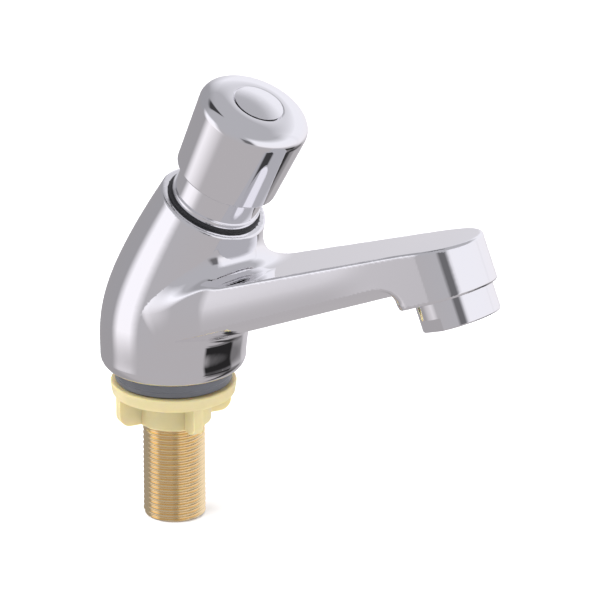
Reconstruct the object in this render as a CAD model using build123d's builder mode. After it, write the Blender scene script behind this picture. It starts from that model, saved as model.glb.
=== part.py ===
"""Push timed basin tap: a self-closing pillar tap with a button, a fixed spout and a threaded shank.

Millimetres, +Z up. The origin is on the shank's axis, on the underside of the base ring, where the
tap stands on the deck. The spout points along +X and the tap is symmetric about the XZ plane.
"""

import os
from math import asin, cos, hypot, pi, radians, sin, sqrt, tan

from build123d import *

# General clearances
assembly_gap = 0.05
seat_gap = 0.1
sliding_gap = 0.3
cut_overrun = 1.0

# Button axis: it leaves the middle of the body's mouth and leans towards the spout
button_lean = 25.8
mouth_forward = 17.2
mouth_height = 65.9

# Outlet axis: it passes through the middle of the aerator's open end
outlet_lean = 22.3
outlet_forward = 115.9
outlet_height = 46.7

# Shank and base
shank_thread_diameter = 20.955
shank_upper_diameter = 20.56
shank_bore_diameter = 14.8
shank_below_deck = 48.8
shank_in_body = 13.5
shank_end_chamfer = 0.8
shank_seal_height = 11.5
base_ring_hole_radius = 10.9
base_ring_overhang = 0.24
base_ring_height = 2.4
base_ring_step_depth = 0.5
base_ring_step_height = 0.4

# Body
body_radius = 24.45
foot_round = 5.05
neck_height = 4.45
mouth_radius = 18.3
mouth_edge_round = 0.8
mouth_inner_chamfer = 0.4
spine_lower_reach = 15.8
spine_upper_reach = 31.6
body_height_shares = (0, 0.2, 0.36, 0.5, 0.62, 0.74, 0.87, 1)
body_taper_shares = (0, -0.06, 0, 0.147, 0.314, 0.498, 0.726, 1)

# Spout
spout_top_height = 33.35
spout_rise = 20.0
spout_floor_height = 17.19
spout_floor_rise = 23.2
spout_root_inset = 1.85
spout_root_forward = 5.0
spout_root_height = 36.0
spout_top_bend_forward = 97.0
spout_top_bend_radius = 200.0
spout_edge_round = 0.9
belly_lip = 0.6
belly_depth = 6.5
belly_tip_depth = 5.5
crotch_round = 8.0
belly_root_round = 5.0
blend_form_back = 45.0
blend_form_forward = 75.0
blend_form_width = 45.0
blend_form_thickness = 10.0
blend_form_margin = 1.5
belly_form_rise = 6.0
belly_form_drop = 40.0
belly_form_forward = 130.0
belly_form_width = 80.0

# Head of the spout, which holds the aerator
head_radius = 15.0
head_rim_height = 9.5
boss_radius = 18.2
boss_flare_radius = 7.0
boss_wall_height = 1.5
boss_wall_spread = 0.3
boss_depth = 12.0

# Bores in the body, measured down the button axis from the mouth
cartridge_bore_radius = 14.0
cartridge_bore_depth = 24.0
outlet_chamber_radius = 12.0
outlet_chamber_depth = 36.5
inlet_chamber_radius = 9.5
seal_bore_radius = 16.1
seal_bore_depth = 1.8
waterway_radius = 3.5
waterway_start_forward = 12.5
waterway_start_height = 31.8
waterway_rise = 19.9
waterway_end_forward = 108.0
inlet_bore_radius = 7.0
inlet_bore_top = 26.0

# Valve seat
seat_ring_height = 2.5
seat_hole_radius = 5.5
seat_lip_width = 0.8
seat_lip_height = 0.25

# Cartridge cylinder
cylinder_inner_radius = 10.5
cylinder_floor_thickness = 2.5
cylinder_shoulder_depth = 10.5
cylinder_upper_radius = 12.2
cylinder_top_depth = 1.5
cylinder_seal_depth = 17.5
seal_section_radius = 0.9
seal_groove_width = 2.2

# Guide bush over the cylinder
bush_top = 2.2
bush_spigot_length = 2.5
spindle_seal_section_radius = 0.7
spindle_seal_level = 0.2

# Guide sleeve, over which the button's skirt slides
sleeve_inner_radius = 12.5
sleeve_thread_radius = 13.9
sleeve_flange_radius = 15.2
sleeve_flange_bottom = 1.0
sleeve_flange_top = 2.9
sleeve_tube_radius = 14.6
sleeve_top = 16.0
sleeve_lip_radius = 11.4
sleeve_lip_thickness = 1.2
sleeve_edge_round = 0.3

# Mouth seal
mouth_seal_edge_round = 0.5

# Button cap
cap_bottom = 12.1
cap_bottom_radius = 17.3
cap_waist_radius = 18.85
cap_waist_height = 37.2
cap_ridge_radius = 18.55
cap_ridge_height = 38.9
cap_shoulder_radius = 12.8
cap_crown_height = 43.2
cap_bore_radius = 15.1
cap_ceiling = 36.0
cap_bottom_round = 0.5
cap_boss_radius = 6.0
index_pocket_radius = 8.8
index_pocket_floor = 41.2
index_pocket_edge = 42.35
screw_recess_radius = 4.2
screw_recess_floor = 38.6

# Index disc
index_radius = 8.4
index_rim_height = 1.25
index_dome_height = 1.1

# Cap screw
screw_head_radius = 3.6
screw_head_height = 2.0
screw_shank_radius = 1.9
screw_length = 8.0
screw_socket_width = 3.0
screw_socket_depth = 1.2

# Spindle
spindle_radius = 3.0
spindle_collar_radius = 9.8
spindle_collar_bottom = 24.0
spindle_collar_thickness = 1.8
spindle_foot_radius = 2.0

# Piston
piston_radius = 10.0
piston_top_depth = 8.0
piston_height = 5.0
piston_groove_floor = 8.2
piston_groove_width = 2.4
lip_seal_radius = 10.3
lip_seal_height = 2.2
metering_hole_radius = 0.7
metering_pin_radius = 0.4
metering_offset = 6.0
metering_pin_top_depth = 6.0

# Valve washer, its disc and its nut
valve_washer_radius = 7.2
valve_washer_thickness = 2.8
valve_disc_radius = 7.8
valve_disc_thickness = 1.6
valve_nut_width = 7.0
valve_nut_height = 2.6
valve_travel = 7.0
valve_end_gap = 0.65

# Return spring
spring_mean_radius = 8.6
spring_wire_radius = 0.7
spring_turns = 6

# Inlet filter
filter_flange_radius = 9.2
filter_flange_thickness = 0.8
filter_cup_radius = 6.6
filter_cup_length = 9.0
filter_wall = 0.9
filter_slot_width = 2.2
filter_slot_length = 5.0
filter_slot_count = 6

# Aerator, measured up the outlet axis from its open end
aerator_radius = 13.1
aerator_thread_radius = 12.0
aerator_bore_radius = 12.1
aerator_bore_top = 17.5
aerator_top = 16.2
aerator_inner_radius = 10.3
aerator_mouth_radius = 9.6
aerator_lip_height = 1.2
aerator_edge_round = 0.6
aerator_flat_distance = 11.84
aerator_flat_height = 4.3
aerator_flat_turn = -107
outlet_cavity_radius = 9.0
outlet_cavity_top = 21.5
gasket_inner_radius = 9.2
insert_radius = 10.2
insert_top = 9.0
insert_hole_radius = 1.25
insert_hole_ring_radii = (3.2, 6.6)
insert_hole_ring_counts = (6, 12)
screen_thickness = 0.8
regulator_thickness = 2.4
regulator_hole_radius = 1.4
regulator_hole_ring_radius = 5.8
regulator_hole_count = 6

# Back nut
nut_flange_top = 0.3
nut_flange_height = 4.4
nut_flange_top_radius = 21.3
nut_flange_bottom_radius = 20.6
nut_hub_radius = 12.6
nut_hub_bottom = 14.8
nut_wing_radius = 20.4
nut_wing_thickness = 3.3
nut_wing_bottom = 14.4
nut_wing_round = 4.0
nut_wing_count = 4
nut_wing_turn = 60.5
nut_edge_round = 0.6
nut_thread_gap = 0.1
shank_step_below_nut = 0.5

# Places that follow from the sizes above
button_direction = Vector(sin(radians(button_lean)), 0, cos(radians(button_lean)))
button_forward = Vector(cos(radians(button_lean)), 0, -sin(radians(button_lean)))
mouth_centre = Vector(mouth_forward, 0, mouth_height)
button_axis = Axis(mouth_centre, button_direction)
button_side = Plane(origin=mouth_centre, x_dir=button_forward, z_dir=(0, -1, 0))

outlet_direction = Vector(-sin(radians(outlet_lean)), 0, cos(radians(outlet_lean)))
outlet_forward_direction = Vector(cos(radians(outlet_lean)), 0, sin(radians(outlet_lean)))
outlet_centre = Vector(outlet_forward, 0, outlet_height)
outlet_axis = Axis(outlet_centre, outlet_direction)
outlet_side = Plane(origin=outlet_centre, x_dir=outlet_forward_direction, z_dir=(0, -1, 0))

shank_radius = shank_thread_diameter / 2
shank_upper_radius = shank_upper_diameter / 2
shank_bore_radius = shank_bore_diameter / 2

spout_root_radius = body_radius - spout_root_inset
neck_radius = body_radius - foot_round
base_ring_radius = neck_radius + base_ring_overhang
foot_top = neck_height + foot_round
shank_thread_top_depth = nut_hub_bottom + shank_step_below_nut
shank_groove_radius = shank_upper_radius - 2 * seal_section_radius - assembly_gap
shank_seal_mean_radius = shank_upper_radius - seal_section_radius
filter_top = shank_in_body + filter_flange_thickness
shank_socket_top = filter_top + seat_gap
waterway_start = Plane(
    origin=(waterway_start_forward, 0, waterway_start_height),
    x_dir=(0, 1, 0),
    z_dir=(cos(radians(waterway_rise)), 0, sin(radians(waterway_rise))),
)
waterway_length = (waterway_end_forward - waterway_start_forward) / cos(radians(waterway_rise))

cylinder_radius = cartridge_bore_radius - assembly_gap
cylinder_groove_radius = cylinder_radius - 2 * seal_section_radius - assembly_gap
cylinder_seal_mean_radius = cylinder_radius - seal_section_radius
spindle_seal_mean_radius = spindle_radius + assembly_gap + spindle_seal_section_radius
spindle_groove_radius = spindle_seal_mean_radius + spindle_seal_section_radius + assembly_gap
spindle_groove_width = 2 * spindle_seal_section_radius + 2 * seat_gap
metering_pin_length = cartridge_bore_depth - cylinder_floor_thickness - metering_pin_top_depth
sleeve_lip_top = bush_top + assembly_gap + sleeve_lip_thickness

cap_boss_bottom = spindle_collar_bottom + spindle_collar_thickness + assembly_gap
tapped_hole_bottom = screw_recess_floor - screw_length - seat_gap
valve_top_depth = outlet_chamber_depth + seat_lip_height + assembly_gap
valve_bottom_depth = (
    valve_top_depth + valve_washer_thickness + valve_disc_thickness + valve_nut_height
)
inlet_chamber_depth = valve_bottom_depth + valve_travel + valve_end_gap
piston_middle_depth = piston_top_depth + piston_height / 2
lip_seal_inner_radius = piston_groove_floor + assembly_gap
lip_seal_valley_radius = (lip_seal_inner_radius + lip_seal_radius) / 2

insert_height = insert_top - aerator_lip_height - assembly_gap
screen_bottom = insert_top + assembly_gap
regulator_bottom = screen_bottom + screen_thickness + assembly_gap

nut_bore_radius = shank_radius + nut_thread_gap
nut_flange_bottom = nut_flange_top + nut_flange_height
nut_wing_root_radius = (nut_bore_radius + nut_hub_radius) / 2

spring_bottom = bush_top + spring_wire_radius + assembly_gap
spring_rise = spindle_collar_bottom - spring_wire_radius - assembly_gap - spring_bottom
spring_quarter_rise = spring_rise / (spring_turns * 4)
spring_slope = spring_quarter_rise / (2 * spring_mean_radius)


def button_level(height):
    """Plane square to the button axis, at a height above the mouth."""
    return Plane(
        origin=mouth_centre + button_direction * height,
        x_dir=button_forward,
        z_dir=button_direction,
    )


def outlet_level(height):
    """Plane square to the outlet axis, at a height above the aerator's open end."""
    return Plane(
        origin=outlet_centre + outlet_direction * height,
        x_dir=outlet_forward_direction,
        z_dir=outlet_direction,
    )


def spine_level(share):
    """Plane square to the body's centre line, at a share of the way up it."""
    start = Vector(0, 0, foot_top)
    lower = start + Vector(0, 0, spine_lower_reach)
    upper = mouth_centre - button_direction * spine_upper_reach
    rest = 1 - share
    centre = (
        start * rest**3
        + lower * (3 * rest**2 * share)
        + upper * (3 * rest * share**2)
        + mouth_centre * share**3
    )
    along = (
        (lower - start) * rest**2
        + (upper - lower) * (2 * rest * share)
        + (mouth_centre - upper) * share**2
    )
    return Plane(origin=centre, x_dir=(0, 1, 0), z_dir=along)


def spout_top_at(forward):
    """Height of the spout's flat top at a distance forward of the shank's axis."""
    return spout_top_height + forward * tan(radians(spout_rise))


def spout_floor_at(forward):
    """Height of the lower edge of the spout's sides at a distance forward."""
    return spout_floor_height + forward * tan(radians(spout_floor_rise))


# Body casting: head boss and spout bar first, trimmed together to the spout's plan outline
rim_centre = outlet_centre + outlet_direction * head_rim_height
root_centre = Vector(spout_root_forward, 0, spout_root_height)
root_offset = (root_centre - rim_centre).dot(outlet_forward_direction)
taper_angle = asin((spout_root_radius - head_radius) / -root_offset)
bar_end_forward = outlet_forward + head_radius
bend_drop = spout_top_bend_radius * cos(radians(spout_rise))
bend_centre_forward = spout_top_bend_forward + spout_top_bend_radius * sin(radians(spout_rise))
bend_centre_height = spout_top_at(spout_top_bend_forward) - bend_drop
bend_run = bar_end_forward - bend_centre_forward
bend_end_height = bend_centre_height + sqrt(spout_top_bend_radius**2 - bend_run**2)


def half_width(offset):
    """Half the spout's width at an offset along the outlet's forward direction."""
    return head_radius / cos(taper_angle) - offset * tan(taper_angle)


def belly_plane(offset):
    """Plane across the spout, square to the head's rim, through the floor at an offset."""
    forward = rim_centre.X + offset * outlet_forward_direction.X
    origin = Vector(forward, 0, spout_floor_at(forward))
    return Plane(origin=origin, x_dir=(0, 1, 0), z_dir=outlet_forward_direction)


def lies_on_spout_top(edge):
    """Whether an edge runs along the outline of the spout's top."""
    middle = edge @ 0.5
    bend = middle.X - bend_centre_forward
    height = spout_top_at(middle.X)
    if middle.X > spout_top_bend_forward:
        height = bend_centre_height + sqrt(spout_top_bend_radius**2 - bend**2)
    crosses = edge.geom_type == GeomType.LINE and abs((edge % 0.5).Y) > abs((edge % 0.5).X)
    return abs(middle.Z - height) < seat_gap and not crosses


def lies_on_crotch(edge):
    """Whether an edge runs where the barrel leaves the spout's flat top."""
    middle = edge @ 0.5
    return abs(middle.Z - spout_top_at(middle.X)) < seat_gap


def lies_on_belly_root(edge):
    """Whether an edge runs across the front of the barrel, under the spout."""
    middle = edge @ 0.5
    crosses = (edge @ 0).Y * (edge @ 1).Y < 0 and middle.X > 0
    return crosses and foot_top + seat_gap < middle.Z < spout_floor_at(middle.X)


def spring_point(quarter):
    """Point on the spring's centre line after a number of quarter turns."""
    turn = quarter * pi / 2
    return (
        mouth_centre
        + button_direction * (spring_bottom + quarter * spring_quarter_rise)
        + button_forward * (spring_mean_radius * cos(turn))
        + Vector(0, spring_mean_radius * sin(turn), 0)
    )


def spring_tangent(quarter):
    """Direction of the spring's centre line after a number of quarter turns."""
    turn = quarter * pi / 2
    return button_direction * spring_slope - button_forward * sin(turn) + Vector(0, cos(turn), 0)


filter_slot_planes = [
    Plane(
        origin=(0, 0, filter_top - filter_cup_length / 2),
        x_dir=(-sin(2 * pi * slot / filter_slot_count), cos(2 * pi * slot / filter_slot_count), 0),
        z_dir=(cos(2 * pi * slot / filter_slot_count), sin(2 * pi * slot / filter_slot_count), 0),
    )
    for slot in range(filter_slot_count)
]
flat_direction = outlet_forward_direction * cos(radians(aerator_flat_turn)) + Vector(
    0, sin(radians(aerator_flat_turn)), 0
)
aerator_flat_planes = [
    Plane(
        origin=outlet_centre + flat_direction * (side * aerator_flat_distance),
        x_dir=outlet_direction.cross(flat_direction * side),
        z_dir=flat_direction * side,
    )
    for side in (-1, 1)
]
nut_wing_turns = [
    radians(nut_wing_turn) + 2 * pi * wing / nut_wing_count for wing in range(nut_wing_count)
]
nut_wing_planes = [
    Plane(origin=(0, 0, 0), x_dir=(cos(turn), sin(turn), 0), z_dir=(sin(turn), -cos(turn), 0))
    for turn in nut_wing_turns
]

# Bent and tapering barrel, from the foot to the mouth
with BuildPart() as barrel:
    for height_share, taper_share in zip(body_height_shares, body_taper_shares):
        with BuildSketch(spine_level(height_share)):
            Circle(body_radius - (body_radius - mouth_radius) * taper_share)
    loft()

# Form with the hollow between the barrel and the spout's flat top
with BuildPart() as crotch_form:
    with BuildSketch(Plane.XZ):
        Polygon(
            (-blend_form_back, spout_top_at(-blend_form_back)),
            (blend_form_forward, spout_top_at(blend_form_forward)),
            (blend_form_forward, spout_top_at(blend_form_forward) - blend_form_thickness),
            (-blend_form_back, spout_top_at(-blend_form_back) - blend_form_thickness),
            align=None,
        )
    extrude(amount=blend_form_width, both=True)
    add(barrel.part)
    crotch_edges = crotch_form.edges().filter_by(GeomType.BSPLINE).filter_by(lies_on_crotch)
    fillet(crotch_edges, radius=crotch_round)
    split(bisect_by=button_level(-blend_form_margin), keep=Keep.BOTTOM)
    with BuildSketch(outlet_level(0)):
        Circle(head_radius - spout_edge_round)
        with Locations((root_offset, 0)):
            Circle(spout_root_radius - spout_edge_round)
        make_hull()
    extrude(amount=outlet_height, both=True, mode=Mode.INTERSECT)

# Form with the rounded underside and the hollow between it and the barrel
with BuildPart() as belly_form:
    for offset, depth in (
        (root_offset - blend_form_back, belly_depth),
        (-boss_radius / 2, belly_tip_depth),
    ):
        chord = half_width(offset) - belly_lip
        belly_radius = (chord**2 + depth**2) / (2 * depth)
        with BuildSketch(belly_plane(offset)):
            with Locations((0, belly_radius - depth)):
                Circle(belly_radius)
    loft()
    add(barrel.part)
    root_edges = belly_form.edges().filter_by(GeomType.BSPLINE).filter_by(lies_on_belly_root)
    fillet(root_edges, radius=belly_root_round)
    with BuildSketch(Plane.XZ):
        Polygon(
            (-belly_form_width, spout_floor_at(-belly_form_width) - belly_form_drop),
            (belly_form_forward, spout_floor_at(belly_form_forward) - belly_form_drop),
            (belly_form_forward, spout_floor_at(belly_form_forward) + belly_form_rise),
            (-belly_form_width, spout_floor_at(-belly_form_width) + belly_form_rise),
            align=None,
        )
    extrude(amount=belly_form_width, both=True, mode=Mode.INTERSECT)
    with BuildSketch(outlet_level(0)):
        Circle(head_radius - belly_lip)
        with Locations((root_offset, 0)):
            Circle(spout_root_radius - belly_lip)
        make_hull()
    extrude(amount=outlet_height, both=True, mode=Mode.INTERSECT)

# Body and spout, cast in one piece
with BuildPart() as body_casting:
    with BuildSketch(Plane.XZ):
        with BuildLine():
            Polyline(
                (bar_end_forward, bend_end_height),
                (bar_end_forward, spout_floor_at(bar_end_forward)),
                (0, spout_floor_at(0)),
                (0, spout_top_at(0)),
                (spout_top_bend_forward, spout_top_at(spout_top_bend_forward)),
            )
            RadiusArc(
                (spout_top_bend_forward, spout_top_at(spout_top_bend_forward)),
                (bar_end_forward, bend_end_height),
                spout_top_bend_radius,
            )
        make_face()
    extrude(amount=body_radius, both=True)
    with BuildSketch(outlet_side):
        with BuildLine():
            Polyline(
                (boss_radius + boss_wall_spread, head_rim_height + boss_wall_height),
                (boss_radius, head_rim_height),
                (0, head_rim_height),
                (0, head_rim_height + boss_depth),
                (
                    boss_radius + boss_wall_spread + boss_flare_radius,
                    head_rim_height + boss_depth,
                ),
                (
                    boss_radius + boss_wall_spread + boss_flare_radius,
                    head_rim_height + boss_wall_height + boss_flare_radius,
                ),
            )
            RadiusArc(
                (
                    boss_radius + boss_wall_spread + boss_flare_radius,
                    head_rim_height + boss_wall_height + boss_flare_radius,
                ),
                (boss_radius + boss_wall_spread, head_rim_height + boss_wall_height),
                -boss_flare_radius,
            )
        make_face()
    revolve(axis=outlet_axis)
    with BuildSketch(outlet_level(0)):
        Circle(head_radius)
        with Locations((root_offset, 0)):
            Circle(spout_root_radius)
        make_hull()
    extrude(amount=outlet_height, both=True, mode=Mode.INTERSECT)

    # Rounded edge along the spout's top
    fillet(body_casting.edges().filter_by(lies_on_spout_top), radius=spout_edge_round)

    # Foot, which curves in from the full width to the neck
    with BuildSketch(Plane.XZ):
        with BuildLine():
            Polyline(
                (neck_radius, neck_height),
                (neck_radius, base_ring_height),
                (0, base_ring_height),
                (0, foot_top),
                (body_radius, foot_top),
            )
            RadiusArc(
                (body_radius, foot_top),
                (neck_radius, neck_height),
                foot_round,
            )
        make_face()
    revolve(axis=Axis.Z)

    # Barrel, with the forms that blend it into the spout above and below
    add(barrel.part)
    add(crotch_form.part)
    add(belly_form.part)

    # Rounded edge of the mouth
    mouth_face = body_casting.faces().sort_by_distance(mouth_centre)[0]
    fillet(mouth_face.edges(), radius=mouth_edge_round)

    # Stepped bore for the cartridge, down the button axis
    with BuildSketch(button_side):
        with BuildLine():
            Polyline(
                (0, cut_overrun),
                (seal_bore_radius + mouth_inner_chamfer + cut_overrun, cut_overrun),
                (seal_bore_radius, -mouth_inner_chamfer),
                (seal_bore_radius, -seal_bore_depth),
                (cartridge_bore_radius, -seal_bore_depth),
                (cartridge_bore_radius, -cartridge_bore_depth),
                (outlet_chamber_radius, -cartridge_bore_depth),
                (outlet_chamber_radius, -outlet_chamber_depth),
                (inlet_chamber_radius, -outlet_chamber_depth),
                (inlet_chamber_radius, -inlet_chamber_depth),
                (0, -inlet_chamber_depth),
                close=True,
            )
        make_face()
    revolve(axis=button_axis, mode=Mode.SUBTRACT)

    # Socket for the shank, and the way in above it
    with BuildSketch(Plane.XY):
        Circle(shank_upper_radius + assembly_gap)
    extrude(amount=shank_socket_top, mode=Mode.SUBTRACT)
    with BuildSketch(Plane.XY):
        Circle(inlet_bore_radius)
    extrude(amount=inlet_bore_top, mode=Mode.SUBTRACT)

    # Waterway through the spout
    with BuildSketch(waterway_start):
        Circle(waterway_radius)
    extrude(amount=waterway_length, mode=Mode.SUBTRACT)

    # Bore for the aerator and the small space above it
    with BuildSketch(outlet_side):
        with BuildLine():
            Polyline(
                (0, head_rim_height - cut_overrun),
                (aerator_bore_radius, head_rim_height - cut_overrun),
                (aerator_bore_radius, aerator_bore_top),
                (outlet_cavity_radius, aerator_bore_top),
                (outlet_cavity_radius, outlet_cavity_top),
                (0, outlet_cavity_top),
                close=True,
            )
        make_face()
    revolve(axis=outlet_axis, mode=Mode.SUBTRACT)

# Threaded shank with a groove near its upper end
with BuildPart() as threaded_shank:
    with BuildSketch(Plane.XZ):
        with BuildLine():
            Polyline(
                (shank_bore_radius, -shank_below_deck),
                (shank_radius - shank_end_chamfer, -shank_below_deck),
                (shank_radius, shank_end_chamfer - shank_below_deck),
                (shank_radius, -shank_thread_top_depth),
                (shank_upper_radius, -shank_thread_top_depth),
                (shank_upper_radius, shank_seal_height - seal_groove_width / 2),
                (shank_groove_radius, shank_seal_height - seal_groove_width / 2),
                (shank_groove_radius, shank_seal_height + seal_groove_width / 2),
                (shank_upper_radius, shank_seal_height + seal_groove_width / 2),
                (shank_upper_radius, shank_in_body),
                (shank_bore_radius, shank_in_body),
                close=True,
            )
        make_face()
    revolve(axis=Axis.Z)

# Round seal in the shank's groove
with BuildPart() as shank_o_ring:
    with BuildSketch(Plane.XZ):
        with Locations((shank_seal_mean_radius, shank_seal_height)):
            Circle(seal_section_radius)
    revolve(axis=Axis.Z)

# Dark ring between the body and the deck
with BuildPart() as base_ring:
    with BuildSketch(Plane.XZ):
        with BuildLine():
            Polyline(
                (base_ring_hole_radius, 0),
                (base_ring_radius, 0),
                (base_ring_radius, base_ring_height - base_ring_step_height),
                (
                    base_ring_radius - base_ring_step_depth,
                    base_ring_height - base_ring_step_height,
                ),
                (base_ring_radius - base_ring_step_depth, base_ring_height),
                (base_ring_hole_radius, base_ring_height),
                close=True,
            )
        make_face()
    revolve(axis=Axis.Z)

# Inlet filter: a slotted cup that hangs in the shank from its flange
with BuildPart() as inlet_filter:
    with BuildSketch(Plane.XZ):
        with BuildLine():
            Polyline(
                (filter_cup_radius - filter_wall, filter_top),
                (filter_flange_radius, filter_top),
                (filter_flange_radius, shank_in_body),
                (filter_cup_radius, shank_in_body),
                (filter_cup_radius, filter_top - filter_cup_length),
                (0, filter_top - filter_cup_length),
                (0, filter_top - filter_cup_length + filter_wall),
                (filter_cup_radius - filter_wall, filter_top - filter_cup_length + filter_wall),
                close=True,
            )
        make_face()
    revolve(axis=Axis.Z)
    with BuildSketch(*filter_slot_planes):
        SlotOverall(filter_slot_length, filter_slot_width, rotation=90)
    extrude(amount=filter_cup_radius + cut_overrun, mode=Mode.SUBTRACT)

# Valve seat with a raised lip around its hole
with BuildPart() as valve_seat:
    with BuildSketch(button_side):
        with BuildLine():
            Polyline(
                (seat_hole_radius, seat_ring_height - outlet_chamber_depth),
                (outlet_chamber_radius - assembly_gap, seat_ring_height - outlet_chamber_depth),
                (outlet_chamber_radius - assembly_gap, -outlet_chamber_depth),
                (seat_hole_radius + seat_lip_width, -outlet_chamber_depth),
                (seat_hole_radius + seat_lip_width / 2, -seat_lip_height - outlet_chamber_depth),
                (seat_hole_radius, -seat_lip_height - outlet_chamber_depth),
                close=True,
            )
        make_face()
    revolve(axis=button_axis)

# Cartridge cylinder, in which the piston slides
with BuildPart() as cartridge_cylinder:
    with BuildSketch(button_side):
        with BuildLine():
            Polyline(
                (spindle_radius + sliding_gap, -cartridge_bore_depth),
                (cylinder_radius, -cartridge_bore_depth),
                (cylinder_radius, -seal_groove_width / 2 - cylinder_seal_depth),
                (cylinder_groove_radius, -seal_groove_width / 2 - cylinder_seal_depth),
                (cylinder_groove_radius, seal_groove_width / 2 - cylinder_seal_depth),
                (cylinder_radius, seal_groove_width / 2 - cylinder_seal_depth),
                (cylinder_radius, -cylinder_shoulder_depth),
                (cylinder_upper_radius, -cylinder_shoulder_depth),
                (cylinder_upper_radius, -cylinder_top_depth),
                (cylinder_inner_radius, -cylinder_top_depth),
                (cylinder_inner_radius, cylinder_floor_thickness - cartridge_bore_depth),
                (spindle_radius + sliding_gap, cylinder_floor_thickness - cartridge_bore_depth),
                close=True,
            )
        make_face()
    revolve(axis=button_axis)

# Round seal in the cylinder's groove
with BuildPart() as cylinder_o_ring:
    with BuildSketch(button_side):
        with Locations((cylinder_seal_mean_radius, -cylinder_seal_depth)):
            Circle(seal_section_radius)
    revolve(axis=button_axis)

# Guide bush that closes the cylinder and guides the spindle
with BuildPart() as guide_bush:
    with BuildSketch(button_side):
        with BuildLine():
            Polyline(
                (spindle_radius + sliding_gap, -bush_spigot_length - cylinder_top_depth),
                (
                    cylinder_inner_radius - assembly_gap,
                    -bush_spigot_length - cylinder_top_depth,
                ),
                (cylinder_inner_radius - assembly_gap, -cylinder_top_depth),
                (cylinder_upper_radius, -cylinder_top_depth),
                (cylinder_upper_radius, bush_top),
                (spindle_radius + sliding_gap, bush_top),
                (spindle_radius + sliding_gap, spindle_seal_level + spindle_groove_width / 2),
                (spindle_groove_radius, spindle_seal_level + spindle_groove_width / 2),
                (spindle_groove_radius, spindle_seal_level - spindle_groove_width / 2),
                (spindle_radius + sliding_gap, spindle_seal_level - spindle_groove_width / 2),
                close=True,
            )
        make_face()
    revolve(axis=button_axis)

# Round seal around the spindle
with BuildPart() as spindle_o_ring:
    with BuildSketch(button_side):
        with Locations((spindle_seal_mean_radius, spindle_seal_level)):
            Circle(spindle_seal_section_radius)
    revolve(axis=button_axis)

# Metering pin, which stands on the cylinder's floor and keeps the piston's small hole clear
with BuildPart() as metering_pin:
    with BuildSketch(button_level(cylinder_floor_thickness - cartridge_bore_depth)):
        with Locations((metering_offset, 0)):
            Circle(metering_pin_radius)
    extrude(amount=metering_pin_length)
    fillet(metering_pin.edges().sort_by(button_axis)[-1], radius=metering_pin_radius / 2)

# Guide sleeve, screwed into the mouth, with a flange over the seal
with BuildPart() as guide_sleeve:
    with BuildSketch(button_side) as sleeve_profile:
        with BuildLine():
            Polyline(
                (sleeve_inner_radius, assembly_gap - cylinder_shoulder_depth),
                (sleeve_thread_radius, assembly_gap - cylinder_shoulder_depth),
                (sleeve_thread_radius, sleeve_flange_bottom),
                (sleeve_flange_radius, sleeve_flange_bottom),
                (sleeve_flange_radius, sleeve_flange_top),
                (sleeve_tube_radius, sleeve_flange_top),
                (sleeve_tube_radius, sleeve_top),
                (sleeve_inner_radius, sleeve_top),
                (sleeve_inner_radius, sleeve_lip_top),
                (sleeve_lip_radius, sleeve_lip_top),
                (sleeve_lip_radius, bush_top + assembly_gap),
                (sleeve_inner_radius, bush_top + assembly_gap),
                close=True,
            )
        make_face()
        sleeve_corners = sleeve_profile.vertices()
        fillet(
            [
                sleeve_corners.sort_by_distance((sleeve_tube_radius, sleeve_top))[0],
                sleeve_corners.sort_by_distance((sleeve_flange_radius, sleeve_flange_top))[0],
            ],
            radius=sleeve_edge_round,
        )
    revolve(axis=button_axis)

# Flat seal under the sleeve's flange
with BuildPart() as mouth_seal:
    with BuildSketch(button_side) as mouth_seal_profile:
        with BuildLine():
            Polyline(
                (sleeve_thread_radius + seat_gap, assembly_gap - seal_bore_depth),
                (seal_bore_radius - assembly_gap, assembly_gap - seal_bore_depth),
                (seal_bore_radius - assembly_gap, sleeve_flange_bottom - assembly_gap),
                (sleeve_thread_radius + seat_gap, sleeve_flange_bottom - assembly_gap),
                close=True,
            )
        make_face()
        fillet(mouth_seal_profile.vertices(), radius=mouth_seal_edge_round)
    revolve(axis=button_axis)

# Aerator housing, screwed into the head, with two spanner flats
with BuildPart() as aerator_housing:
    with BuildSketch(outlet_side) as housing_profile:
        with BuildLine():
            Polyline(
                (aerator_mouth_radius, 0),
                (aerator_radius, 0),
                (aerator_radius, head_rim_height - seat_gap),
                (aerator_thread_radius, head_rim_height - seat_gap),
                (aerator_thread_radius, aerator_top),
                (aerator_inner_radius, aerator_top),
                (aerator_inner_radius, aerator_lip_height),
                (aerator_mouth_radius, aerator_lip_height),
                close=True,
            )
        make_face()
        housing_corners = housing_profile.vertices()
        fillet(
            housing_corners.sort_by_distance((aerator_radius, 0))[0],
            radius=aerator_edge_round,
        )
    revolve(axis=outlet_axis)
    with BuildSketch(*aerator_flat_planes):
        Rectangle(
            aerator_radius * 2,
            aerator_flat_height,
            align=(Align.CENTER, Align.MIN),
        )
    extrude(amount=aerator_radius - aerator_flat_distance, mode=Mode.SUBTRACT)

# Aerator insert: a thick disc with rings of holes
with BuildPart() as aerator_insert:
    with BuildSketch(outlet_level(aerator_lip_height + assembly_gap)):
        Circle(insert_radius)
        Circle(insert_hole_radius, mode=Mode.SUBTRACT)
        for ring_radius, hole_count in zip(insert_hole_ring_radii, insert_hole_ring_counts):
            with PolarLocations(ring_radius, hole_count):
                Circle(insert_hole_radius, mode=Mode.SUBTRACT)
    extrude(amount=insert_height)

# Screen over the insert
with BuildPart() as aerator_screen:
    with BuildSketch(outlet_level(screen_bottom)):
        Circle(insert_radius)
    extrude(amount=screen_thickness)

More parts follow.
